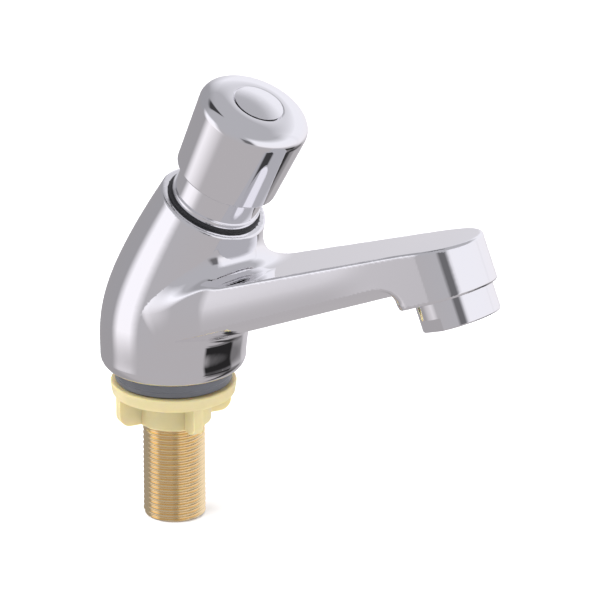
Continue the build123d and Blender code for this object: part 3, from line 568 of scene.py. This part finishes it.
        # Plan outline: the head's circle and the root's, with straight sides between them
        lateral, along = np.abs(y), -s
        straight = sqrt(1 - self.narrowing**2)
        share = -self.narrowing * lateral + straight * along
        length = -self.root_offset
        plan = np.where(
            share < 0,
            np.hypot(lateral, along) - self.head_radius,
            np.where(
                share > straight * length,
                np.hypot(lateral, along - length) - self.root_radius,
                straight * lateral + self.narrowing * along - self.head_radius,
            ),
        )

        # Faint bow of the spout's sides, which fades out at the head
        fade = np.clip((-s - self.bow_start) / self.bow_fade, 0, 1)
        rise = np.clip(h - self.bow_middle, -self.bow_reach, self.bow_reach)
        swell = self.bow_depth * (1 - np.cos(pi * rise / self.bow_reach))
        plan = plan + swell * fade * fade * (3 - 2 * fade)

        # Underside: a floor, a rounded belly right up to the edges, and the head's boss
        below = (self.floor_height + x * tan(self.floor_rise) - z) * cos(self.floor_rise)
        half = self.head_radius / straight - s * (-self.narrowing / straight) + self.belly_margin
        inset, tip = self.belly_stations
        depth = np.interp(s, (self.root_offset - inset, tip), self.belly_depths)
        round_belly = (half**2 + depth**2) / (2 * depth)
        belly = np.hypot(y, below + round_belly - depth) - round_belly
        belly = np.maximum(np.maximum(belly, -below - self.belly_clip), s + self.belly_end)
        flare = np.clip(h - self.rim_height, 0, self.boss_flare_height)
        wall = self.boss_radius + self.boss_flare * flare
        boss = np.maximum(outlet_radius - wall, self.rim_height - h)
        under = union_round(below, boss, self.boss_round)
        under = union_round(under, belly, self.belly_round)

        # Spout, whose sides flow out of the barrel, with hollows above and below
        front = np.clip((s + self.flow_start) / self.flow_length, 0, 1)
        reach = self.flow_reach * front * front * (3 - 2 * front) + 1e-6
        meet = np.maximum(reach - np.abs(barrel - plan), 0) / reach
        wall = np.minimum(barrel, plan) - meet * meet * reach / 4
        near = np.clip((self.swell_reach - barrel) / self.swell_reach, 0, 1)
        edge = self.spout_edge + self.root_swell * near * near * (3 - 2 * near)
        spout = common_round(wall, union_round(barrel, above, self.crotch), edge)
        spout = common_round(spout, union_round(barrel, under, self.root), self.spout_edge)
        solid = np.minimum(barrel, spout)
        solid = np.maximum(solid, self.base_height - z)

        # Bores for the cartridge, the shank and the aerator
        bores = [np.maximum(button_radius - bore, end - t) for bore, end in self.button_bores]
        bores += [np.maximum(stem - bore, z - end) for bore, end in self.shank_bores]
        bores.append(np.maximum(outlet_radius - self.outlet_bore, h - self.outlet_roof))
        for bore in bores:
            solid = np.maximum(solid, -bore)
        return solid


def gradient(form, p, step=0.02):
    """Slope of a distance at points."""
    slope = np.empty_like(p)
    for axis in range(3):
        shift = np.zeros(3)
        shift[axis] = step
        slope[:, axis] = form(p + shift) - form(p - shift)
    return slope / np.maximum(np.linalg.norm(slope, axis=1), 1e-12)[:, None]


def contour(form, low, high, cell):
    """Quads on a distance's zero surface, with a vertex on each crease that a cell holds."""
    axes = [np.arange(a, b + cell, cell) for a, b in zip(low, high)]
    shape = tuple(len(a) for a in axes)
    grid = np.stack(np.meshgrid(*axes, indexing="ij"), -1).reshape(-1, 3)
    field = np.concatenate([form(part) for part in np.array_split(grid, 12)]).reshape(shape)
    inside = field < 0
    edges = []
    for axis in range(3):
        here = [slice(None)] * 3
        there = [slice(None)] * 3
        here[axis] = slice(None, -1)
        there[axis] = slice(1, None)
        crossed = inside[tuple(here)] != inside[tuple(there)]
        index = np.argwhere(crossed)
        step = np.eye(3, dtype=int)[axis]
        a = field[tuple(index.T)]
        b = field[tuple((index + step).T)]
        start = np.stack([axes[i][index[:, i]] for i in range(3)], -1)
        lo, hi = np.zeros(len(index)), np.ones(len(index))
        share = a / (a - b)
        sign = np.sign(a)
        for _ in range(4):
            value = form(start + step * (share * cell)[:, None]) * sign
            lo = np.where(value > 0, share, lo)
            hi = np.where(value > 0, hi, share)
            a = np.where(value > 0, value, np.abs(a))
            b = np.where(value > 0, np.abs(b), np.abs(value))
            share = lo + (hi - lo) * a / np.maximum(a + b, 1e-12)
        edges.append((index, start + step * (share * cell)[:, None], inside[tuple(index.T)]))

    # One vertex per crossed cell, where the planes at its crossings meet
    count = int(np.prod(shape))
    key = lambda index: np.ravel_multi_index(index.T, shape)
    normal_sum = np.zeros((count, 6))
    side_sum = np.zeros((count, 3))
    middle_sum = np.zeros((count, 3))
    number = np.zeros(count)
    quads = []
    for axis, (index, point, starts_inside) in enumerate(edges):
        slope = gradient(form, point)
        first, second = [np.eye(3, dtype=int)[i] for i in range(3) if i != axis]
        around = [index, index - first, index - first - second, index - second]
        keys = [key(np.maximum(cell_index, 0)) for cell_index in around]
        pull = (slope * point).sum(1)
        outer = np.stack(
            [slope[:, i] * slope[:, j] for i, j in ((0, 0), (0, 1), (0, 2), (1, 1), (1, 2), (2, 2))],
            1,
        )
        for k in keys:
            number += np.bincount(k, minlength=count)
            for i in range(6):
                normal_sum[:, i] += np.bincount(k, outer[:, i], count)
            for i in range(3):
                side_sum[:, i] += np.bincount(k, slope[:, i] * pull, count)
                middle_sum[:, i] += np.bincount(k, point[:, i], count)
        quad = np.stack(keys, 1)
        flip = starts_inside if axis != 1 else ~starts_inside
        quad[~flip] = quad[~flip][:, ::-1]
        quads.append(quad)
    used = np.flatnonzero(number)
    number = number[used][:, None]
    middle = middle_sum[used] / number
    a = normal_sum[used]
    matrix = a[:, [0, 1, 2, 1, 3, 4, 2, 4, 5]].reshape(-1, 3, 3)
    stiff = 0.03 * number[:, :, None] * np.eye(3)
    right = side_sum[used] - (matrix @ middle[:, :, None])[:, :, 0]
    vertex = middle + np.linalg.solve(matrix + stiff, right[:, :, None])[:, :, 0]
    cells = np.stack(np.unravel_index(used, shape), 1)
    corner = np.stack([axes[i][cells[:, i]] for i in range(3)], -1)
    vertex = np.clip(vertex, corner, corner + cell)
    place = np.full(count, -1)
    place[used] = np.arange(len(used))
    return vertex, place[np.concatenate(quads)]


def shaded_mesh(name, form, points, quads):
    """A mesh whose corner normals come from the distance itself."""
    mesh = bpy.data.meshes.new(name)
    mesh.from_pydata((points * MM).tolist(), [], quads.tolist())
    mesh.update()
    mesh.shade_smooth()
    centre = points[quads].mean(1)
    corner = points[quads] * 0.8 + centre[:, None] * 0.2
    normals = np.concatenate(
        [gradient(form, part) for part in np.array_split(corner.reshape(-1, 3), 8)]
    )
    mesh.normals_split_custom_set(normals.tolist())
    return mesh


# Operators, one for each piece or group of like pieces


class TAP_OT_body_shell(bpy.types.Operator):
    """Draws the chromed body and spout in one skin, with its hollows and its bores"""

    bl_idname = "tap.body_shell"
    bl_label = "Body shell"

    def execute(self, context):
        sizes = context.scene.tap_sizes
        form = BodyForm(sizes.crotch_round / MM, sizes.root_round / MM)
        low, high = (np.array(corner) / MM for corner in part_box("body_casting"))
        cell = sizes.shell_cell / MM * 1
        low = low - 1.37 * cell
        low[1] = -(round(-low[1] / cell) + 0.5) * cell
        points, quads = contour(form.distance, low, high + 2 * cell, cell)
        mesh = shaded_mesh("body_shell", form.distance, points, quads)
        piece = bpy.data.objects.new("body_shell", mesh)
        context.scene.collection.objects.link(piece)
        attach(piece, "body")
        dress(piece, "chrome")
        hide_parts("body_casting")
        return {"FINISHED"}


class TAP_OT_button_cap(bpy.types.Operator):
    """Turns the button's cap: tapered skirt, soft shoulder, flat crown with its pocket"""

    bl_idname = "tap.button_cap"
    bl_label = "Button cap"

    def execute(self, context):
        profile = [
            (1.95, 38.6), (4.2, 38.6), (4.2, 41.2), (8.8, 41.2), (8.8, 42.0),
            *arc((9.05, 42.0), (0.25, 0.25), 180, 90, 5),
            *arc((9.3, 37.6), (9.4, 4.65), 90, 9, 24),
            (18.8, 37.7), (18.85, 36.9), (17.34, 12.7),
            *arc((16.82, 12.6), (0.5, 0.5), 0, -90, 6),
            *arc((15.4, 12.4), (0.3, 0.3), -90, -180, 4),
            (15.1, 36.0), (6.0, 36.0), (6.0, 25.85), (3.05, 25.85), (3.05, 36.0), (1.95, 36.0),
        ]
        lathe("cap_turned", profile, "button", "chrome", ["button_cap"], tilted=True)
        return {"FINISHED"}


class TAP_OT_base_ring(bpy.types.Operator):
    """Turns the grey base ring, whose thin lip stands round the body's neck"""

    bl_idname = "tap.base_ring"
    bl_label = "Base ring"

    def execute(self, context):
        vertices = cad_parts["base_ring"].data.vertices
        inner = min(v.co.xy.length for v in vertices) / MM
        profile = [
            (inner, 0.0), (19.2, 0.0),
            *arc((19.2, 0.4), (0.4, 0.4), -90, 0, 5),
            (19.6, 1.5), (19.45, 1.75), (19.45, 2.0), (19.64, 2.25), (19.64, 4.3),
            *arc((19.54, 4.3), (0.1, 0.1), 0, 90, 3),
            (19.42, 4.4), (19.42, 2.38), (inner, 2.38),
        ]
        lathe("base_ring_lip", profile, "body", "ring", ["base_ring"])
        return {"FINISHED"}


class TAP_OT_shank(bpy.types.Operator):
    """Cuts the real helical thread of the shank, with its seal groove and its end chamfers"""

    bl_idname = "tap.shank"
    bl_label = "Threaded shank"

    def execute(self, context):
        sizes = context.scene.tap_sizes
        pitch, depth = sizes.thread_pitch / MM, sizes.thread_depth / MM
        segments, per_turn = 128, 12
        bottom, top, crest = -48.8, -2.6, 10.4775
        rows = int((top - bottom) / pitch * per_turn)
        heights = np.linspace(bottom, top, rows + 1)
        turn = np.linspace(0, 2 * pi, segments, endpoint=False)
        h, a = np.meshgrid(heights, turn, indexing="ij")
        wave = np.abs(2 * np.mod((h - pitch * a / (2 * pi)) / pitch, 1.0) - 1)
        share = np.clip((wave - 0.06) / 0.88, 0, 1)
        share = share * share * (3 - 2 * share)
        fade = np.clip((top - h) / 1.6, 0, 1)
        cut = crest - depth * share * fade
        radius = np.minimum(cut, crest - 0.8 + np.minimum(h - bottom, 0.8))
        points = [np.stack([radius * np.cos(a), radius * np.sin(a), h], -1)]
        rest = [
            (10.28, top), (10.28, 10.4), (8.43, 10.4), (8.43, 12.6), (10.28, 12.6),
            (10.28, 13.2), (9.98, 13.5), (7.4, 13.5), (7.4, bottom + 0.5), (7.9, bottom),
        ]
        for r, z in rest:
            ring = np.stack([r * np.cos(turn), r * np.sin(turn), np.full(segments, z)], -1)
            points.append(ring[None])
        points = np.concatenate(points)
        count = len(points)
        j, i = np.meshgrid(np.arange(count), np.arange(segments), indexing="ij")
        j_next, i_next = (j + 1) % count, (i + 1) % segments
        faces = np.stack(
            [
                j * segments + i,
                j * segments + i_next,
                j_next * segments + i_next,
                j_next * segments + i,
            ],
            -1,
        )
        piece = make_piece(
            "shank_thread", points.reshape(-1, 3), faces.reshape(-1, 4), "body", "brass",
            ["threaded_shank"],
        )
        piece.data.set_sharp_from_angle(angle=radians(50))
        return {"FINISHED"}


class TAP_OT_spring(bpy.types.Operator):
    """Winds the return spring, with closed ends"""

    bl_idname = "tap.spring"
    bl_label = "Return spring"

    def execute(self, context):
        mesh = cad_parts["return_spring"].data
        place = np.array([v.co[:] for v in mesh.vertices]) / MM - MOUTH_MM
        low, high = (place @ BUTTON_UP).min() + 0.7, (place @ BUTTON_UP).max() - 0.7
        turns, steps, sides = 7.5, 40, 14
        share = np.linspace(0, 1, int(turns * steps) + 1)
        ends = 0.11
        rise = np.interp(share, (0, ends, 1 - ends, 1), (0, 0.045, 0.955, 1))
        angle = 2 * pi * turns * share
        t = low + (high - low) * rise
        out = np.cos(angle)[:, None] * BUTTON_FORWARD + np.sin(angle)[:, None] * (0.0, 1.0, 0.0)
        centre = MOUTH_MM + 8.6 * out + t[:, None] * BUTTON_UP
        tube = np.linspace(0, 2 * pi, sides, endpoint=False)
        points = centre[:, None] + 0.7 * (
            np.cos(tube)[None, :, None] * out[:, None] + np.sin(tube)[None, :, None] * BUTTON_UP
        )
        count = len(share)
        j, i = np.meshgrid(np.arange(count - 1), np.arange(sides), indexing="ij")
        i_next = (i + 1) % sides
        faces = np.stack(
            [
                j * sides + i,
                j * sides + i_next,
                (j + 1) * sides + i_next,
                (j + 1) * sides + i,
            ],
            -1,
        ).reshape(-1, 4)
        caps = [list(range(sides))[::-1], list(range((count - 1) * sides, count * sides))]
        piece = make_piece(
            "spring_coil", points.reshape(-1, 3), [*faces.tolist(), *caps], "body", "steel",
            ["return_spring"],
        )
        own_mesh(piece)
        return {"FINISHED"}


class TAP_OT_metals(bpy.types.Operator):
    """Gives the turned, plated and drawn solids their metals"""

    bl_idname = "tap.metals"
    bl_label = "Metal solids"

    def execute(self, context):
        for name, material, slot in (
            ("guide_sleeve", "chrome", "chrome"),
            ("aerator_housing", "chrome", "chrome"),
            ("index_disc", "satin", "satin_chrome"),
            ("valve_seat", "brass", "inner_brass"),
            ("spindle", "brass", "inner_brass"),
            ("piston", "brass", "inner_brass"),
            ("valve_disc", "brass", "inner_brass"),
            ("valve_nut", "brass", "inner_brass"),
            ("metering_pin", "steel", "stainless_steel"),
            ("cap_screw", "steel", "stainless_steel"),
            ("aerator_screen", "steel", "stainless_steel"),
        ):
            dress(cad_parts[name], material)
        return {"FINISHED"}


class TAP_OT_mouldings(bpy.types.Operator):
    """Gives the moulded and rubber solids their surfaces"""

    bl_idname = "tap.mouldings"
    bl_label = "Plastic and rubber solids"

    def execute(self, context):
        for name, material, slot in (
            ("back_nut", "nut", "nut_plastic"),
            ("mouth_seal", "rubber", "black_rubber"),
            ("shank_o_ring", "rubber", "black_rubber"),
            ("cylinder_o_ring", "rubber", "black_rubber"),
            ("spindle_o_ring", "rubber", "black_rubber"),
            ("piston_lip_seal", "rubber", "black_rubber"),
            ("valve_washer", "rubber", "black_rubber"),
            ("aerator_gasket", "rubber", "black_rubber"),
            ("inlet_filter", "plastic", "white_plastic"),
            ("cartridge_cylinder", "plastic", "white_plastic"),
            ("guide_bush", "plastic", "white_plastic"),
            ("aerator_insert", "plastic", "white_plastic"),
            ("flow_regulator", "plastic", "white_plastic"),
        ):
            dress(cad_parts[name], material)
        return {"FINISHED"}


class TAP_OT_studio(bpy.types.Operator):
    """Sets the floor, the soft studio light and the camera"""

    bl_idname = "tap.studio"
    bl_label = "Studio"

    def execute(self, context):
        scene = context.scene
        studio = scene.tap_studio
        self.make_floor(scene, studio)
        self.make_world(scene, studio)
        self.make_lights(scene)
        self.make_camera(scene, studio)
        scene.view_settings.view_transform = "Standard"
        return {"FINISHED"}

    def make_floor(self, scene, studio):
        """A wide pale floor at the foot of the shank, which rises gently at its rim."""
        floor_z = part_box("threaded_shank")[0].z
        mesh = bpy.data.meshes.new("floor")
        work = bmesh.new()
        rings = [(0.0, 0.0), (0.5, 0.0), (1.5, 0.0), (3.0, 0.0), (3.5, 0.05), (4.0, 0.2)]
        previous = None
        for radius, rise in rings:
            ring = [
                work.verts.new((radius * cos(a), radius * sin(a), floor_z + rise))
                for a in (2 * pi * i / 64 for i in range(64 if radius else 1))
            ]
            if previous and len(previous) == 1:
                for i in range(64):
                    work.faces.new((previous[0], ring[i], ring[(i + 1) % 64]))
            elif previous:
                for i in range(64):
                    j = (i + 1) % 64
                    work.faces.new((previous[i], ring[i], ring[j], previous[j]))
            previous = ring
        work.to_mesh(mesh)
        work.free()
        mesh.shade_smooth()
        floor = bpy.data.objects.new("studio_floor", mesh)
        scene.collection.objects.link(floor)
        mesh.materials.append(self.make_paper(studio))

    def make_paper(self, studio):
        """Matt paper, which the tap's polished surfaces look through to the room below."""
        material, tree, principled, bump = shader("studio_paper")
        principled.inputs["Roughness"].default_value = 0.9
        principled.inputs["Specular IOR Level"].default_value = 0.1
        mottle = remap(tree, noise(tree, object_space(tree), 12.0), 0.985, 1.0)
        tree.links.new(tinted(tree, studio.backdrop, mottle), principled.inputs["Base Color"])
        bump.inputs["Strength"].default_value = 0.02
        bump.inputs["Distance"].default_value = 0.0005
        tree.links.new(noise(tree, object_space(tree), 900.0), bump.inputs["Height"])
        clear = tree.nodes.new("ShaderNodeBsdfTransparent")
        path = tree.nodes.new("ShaderNodeLightPath")
        pick = tree.nodes.new("ShaderNodeMixShader")
        tree.links.new(path.outputs["Is Glossy Ray"], pick.inputs["Fac"])
        tree.links.new(principled.outputs["BSDF"], pick.inputs[1])
        tree.links.new(clear.outputs["BSDF"], pick.inputs[2])
        tree.links.new(pick.outputs["Shader"], tree.nodes["Material Output"].inputs["Surface"])
        return material

    def make_world(self, scene, studio):
        """Pale air to the camera, and a room of soft panels and dark gaps in reflections."""
        world = bpy.data.worlds.new("studio_air")
        world.use_nodes = True
        scene.world = world
        tree = world.node_tree
        tree.nodes.clear()
        direction = tree.nodes.new("ShaderNodeTexCoord").outputs["Generated"]
        split = tree.nodes.new("ShaderNodeSeparateXYZ")
        tree.links.new(direction, split.inputs["Vector"])
        opposite = self.math(tree, "MULTIPLY", split.outputs["Y"], -1.0)
        around = self.math(tree, "ARCTAN2", split.outputs["X"], opposite)
        height = self.math(tree, "ARCSINE", split.outputs["Z"])
        wall = tree.nodes.new("ShaderNodeValue")
        wall.outputs[0].default_value = WALL
        shade = wall.outputs[0]
        for panel in PANELS:
            shade = self.make_panel(tree, shade, around, height, panel)
        tint = tree.nodes.new("ShaderNodeValToRGB")
        tree.links.new(remap(tree, height, 0.0, 1.0, -0.6, 0.3), tint.inputs["Fac"])
        tint.color_ramp.elements[0].color = (1.0, 0.955, 0.99, 1)
        tint.color_ramp.elements[1].color = (0.985, 0.98, 1.05, 1)
        both = tree.nodes.new("ShaderNodeVectorMath")
        both.operation = "SCALE"
        tree.links.new(tint.outputs["Color"], both.inputs[0])
        tree.links.new(shade, both.inputs["Scale"])
        room = tree.nodes.new("ShaderNodeBackground")
        tree.links.new(both.outputs["Vector"], room.inputs["Color"])
        air = tree.nodes.new("ShaderNodeBackground")
        air.inputs["Color"].default_value = (1, 1, 1, 1)
        air.inputs["Strength"].default_value = 1.0
        seen = tree.nodes.new("ShaderNodeLightPath")
        pick = tree.nodes.new("ShaderNodeMixShader")
        tree.links.new(seen.outputs["Is Camera Ray"], pick.inputs["Fac"])
        tree.links.new(room.outputs[0], pick.inputs[1])
        tree.links.new(air.outputs[0], pick.inputs[2])
        leave = tree.nodes.new("ShaderNodeOutputWorld")
        tree.links.new(pick.outputs[0], leave.inputs["Surface"])

    def math(self, tree, operation, first, second=None):
        """One step of arithmetic on a socket."""
        node = tree.nodes.new("ShaderNodeMath")
        node.operation = operation
        tree.links.new(first, node.inputs[0])
        if isinstance(second, (int, float)):
            node.inputs[1].default_value = second
        elif second is not None:
            tree.links.new(second, node.inputs[1])
        return node.outputs[0]

    def make_panel(self, tree, shade, around, height, panel):
        """Lays one soft-edged panel or dark flag over the brightness of the room."""
        name, azimuth, elevation, width, rise, soft, brightness = panel
        cover = None
        for angle, centre, span in ((around, azimuth, width), (height, elevation, rise)):
            turned = self.math(tree, "ADD", angle, -radians(centre))
            away = self.math(tree, "ARCCOSINE", self.math(tree, "COSINE", turned))
            half = span / 2
            edge = remap(tree, away, 1.0, 0.0, radians(half), radians(half + soft))
            cover = self.math(tree, "MULTIPLY", cover, edge) if cover else edge
        mix = tree.nodes.new("ShaderNodeMix")
        mix.label = name
        mix.data_type = "FLOAT"
        tree.links.new(cover, mix.inputs["Factor"])
        tree.links.new(shade, mix.inputs["A"])
        mix.inputs["B"].default_value = brightness
        return mix.outputs["Result"]

    def make_lights(self, scene):
        """Large soft lamps, aimed at the tap, which only its matt surfaces see."""
        for name, azimuth, elevation, reach, width, height, power in LAMPS:
            a, e = radians(azimuth), radians(elevation)
            away = Vector((sin(a) * cos(e), -cos(a) * cos(e), sin(e)))
            lamp = bpy.data.lights.new(name, "AREA")
            lamp.shape = "RECTANGLE"
            lamp.size, lamp.size_y = width, height
            lamp.energy = power
            holder = bpy.data.objects.new(name, lamp)
            holder.location = LAMP_AIM + away * reach
            holder.rotation_euler = away.to_track_quat("Z", "Y").to_euler()
            holder.visible_glossy = False
            scene.collection.objects.link(holder)

    def make_camera(self, scene, studio):
        """The camera at the photograph's viewing angle."""
        a, e = studio.azimuth, studio.elevation
        back = Vector((sin(a) * cos(e), -cos(a) * cos(e), sin(e)))
        data = bpy.data.cameras.new("camera")
        data.sensor_width = 36
        data.lens = studio.lens
        data.clip_end = 100
        camera = bpy.data.objects.new("camera", data)
        camera.location = CAMERA_AIM + back * studio.distance
        camera.rotation_euler = back.to_track_quat("Z", "Y").to_euler()
        scene.collection.objects.link(camera)
        scene.camera = camera


# Brightness of the studio's bare wall, where 1 is white
WALL = 0.45

# What the chrome reflects: name, azimuth, elevation, width, height, soft edge, brightness
PANELS = (
    ("left_wall", -100, 0, 50, 100, 20, 0.35),
    ("left_window", -50, 0, 24, 30, 15, 1.0),
    ("back_window", 180, 10, 60, 40, 20, 0.9),
    ("right_window", 100, 12, 80, 30, 15, 0.9),
    ("ceiling_gap", -95, 75, 36, 24, 10, 0.05),
    ("camera_stand", 40, 3, 12, 20, 8, 0.15),
    ("grey_carpet", 135, -36, 70, 14, 8, 0.18),
    ("bench", 115, -29, 50, 5, 5, 0.02),
    ("low_flag", 153, -50, 16, 20, 8, 0.04),
)

# What the camera and the lamps look at
CAMERA_AIM = Vector((0.052, 0, 0.03926))
LAMP_AIM = Vector((0.05, 0, 0.04))

# Soft lamps: name, azimuth, elevation, distance, width, height, power
LAMPS = (
    ("key_panel", -20, 60, 1.3, 0.9, 0.9, 16.0),
    ("side_panel", -80, 30, 1.2, 0.7, 1.1, 6.0),
    ("right_panel", 100, 35, 1.3, 0.8, 1.0, 6.0),
    ("back_panel", 170, 60, 1.4, 1.0, 1.0, 10.0),
)


class TAP_PT_panel(bpy.types.Panel):
    """The tap's pieces and its studio"""

    bl_idname = "TAP_PT_panel"
    bl_label = "Push timed basin tap"
    bl_space_type = "VIEW_3D"
    bl_region_type = "UI"
    bl_category = "Tap"

    def draw(self, context):
        for group in (
            context.scene.tap_sizes,
            context.scene.tap_finishes,
            context.scene.tap_studio,
        ):
            box = self.layout.box()
            for name in type(group).__annotations__:
                box.prop(group, name)
        for operator in OPERATORS:
            self.layout.operator(operator.bl_idname)


OPERATORS = (
    TAP_OT_body_shell,
    TAP_OT_button_cap,
    TAP_OT_base_ring,
    TAP_OT_shank,
    TAP_OT_spring,
    TAP_OT_metals,
    TAP_OT_mouldings,
    TAP_OT_studio,
)
GROUPS = (TapSizes, TapFinishes, TapStudio)


def register():
    """Registers the property groups, the operators and the panel."""
    for kind in (*GROUPS, *OPERATORS, TAP_PT_panel):
        bpy.utils.register_class(kind)
    bpy.types.Scene.tap_sizes = PointerProperty(type=TapSizes)
    bpy.types.Scene.tap_finishes = PointerProperty(type=TapFinishes)
    bpy.types.Scene.tap_studio = PointerProperty(type=TapStudio)


def unregister():
    """Takes away what register adds."""
    del bpy.types.Scene.tap_sizes
    del bpy.types.Scene.tap_finishes
    del bpy.types.Scene.tap_studio
    for kind in reversed((*GROUPS, *OPERATORS, TAP_PT_panel)):
        bpy.utils.unregister_class(kind)


def main():
    """Dresses the tap and sets the studio."""
    register()
    bpy.ops.tap.body_shell()
    bpy.ops.tap.button_cap()
    bpy.ops.tap.base_ring()
    bpy.ops.tap.shank()
    bpy.ops.tap.spring()
    bpy.ops.tap.metals()
    bpy.ops.tap.mouldings()
    bpy.ops.tap.studio()


if __name__ == "__main__":
    main()
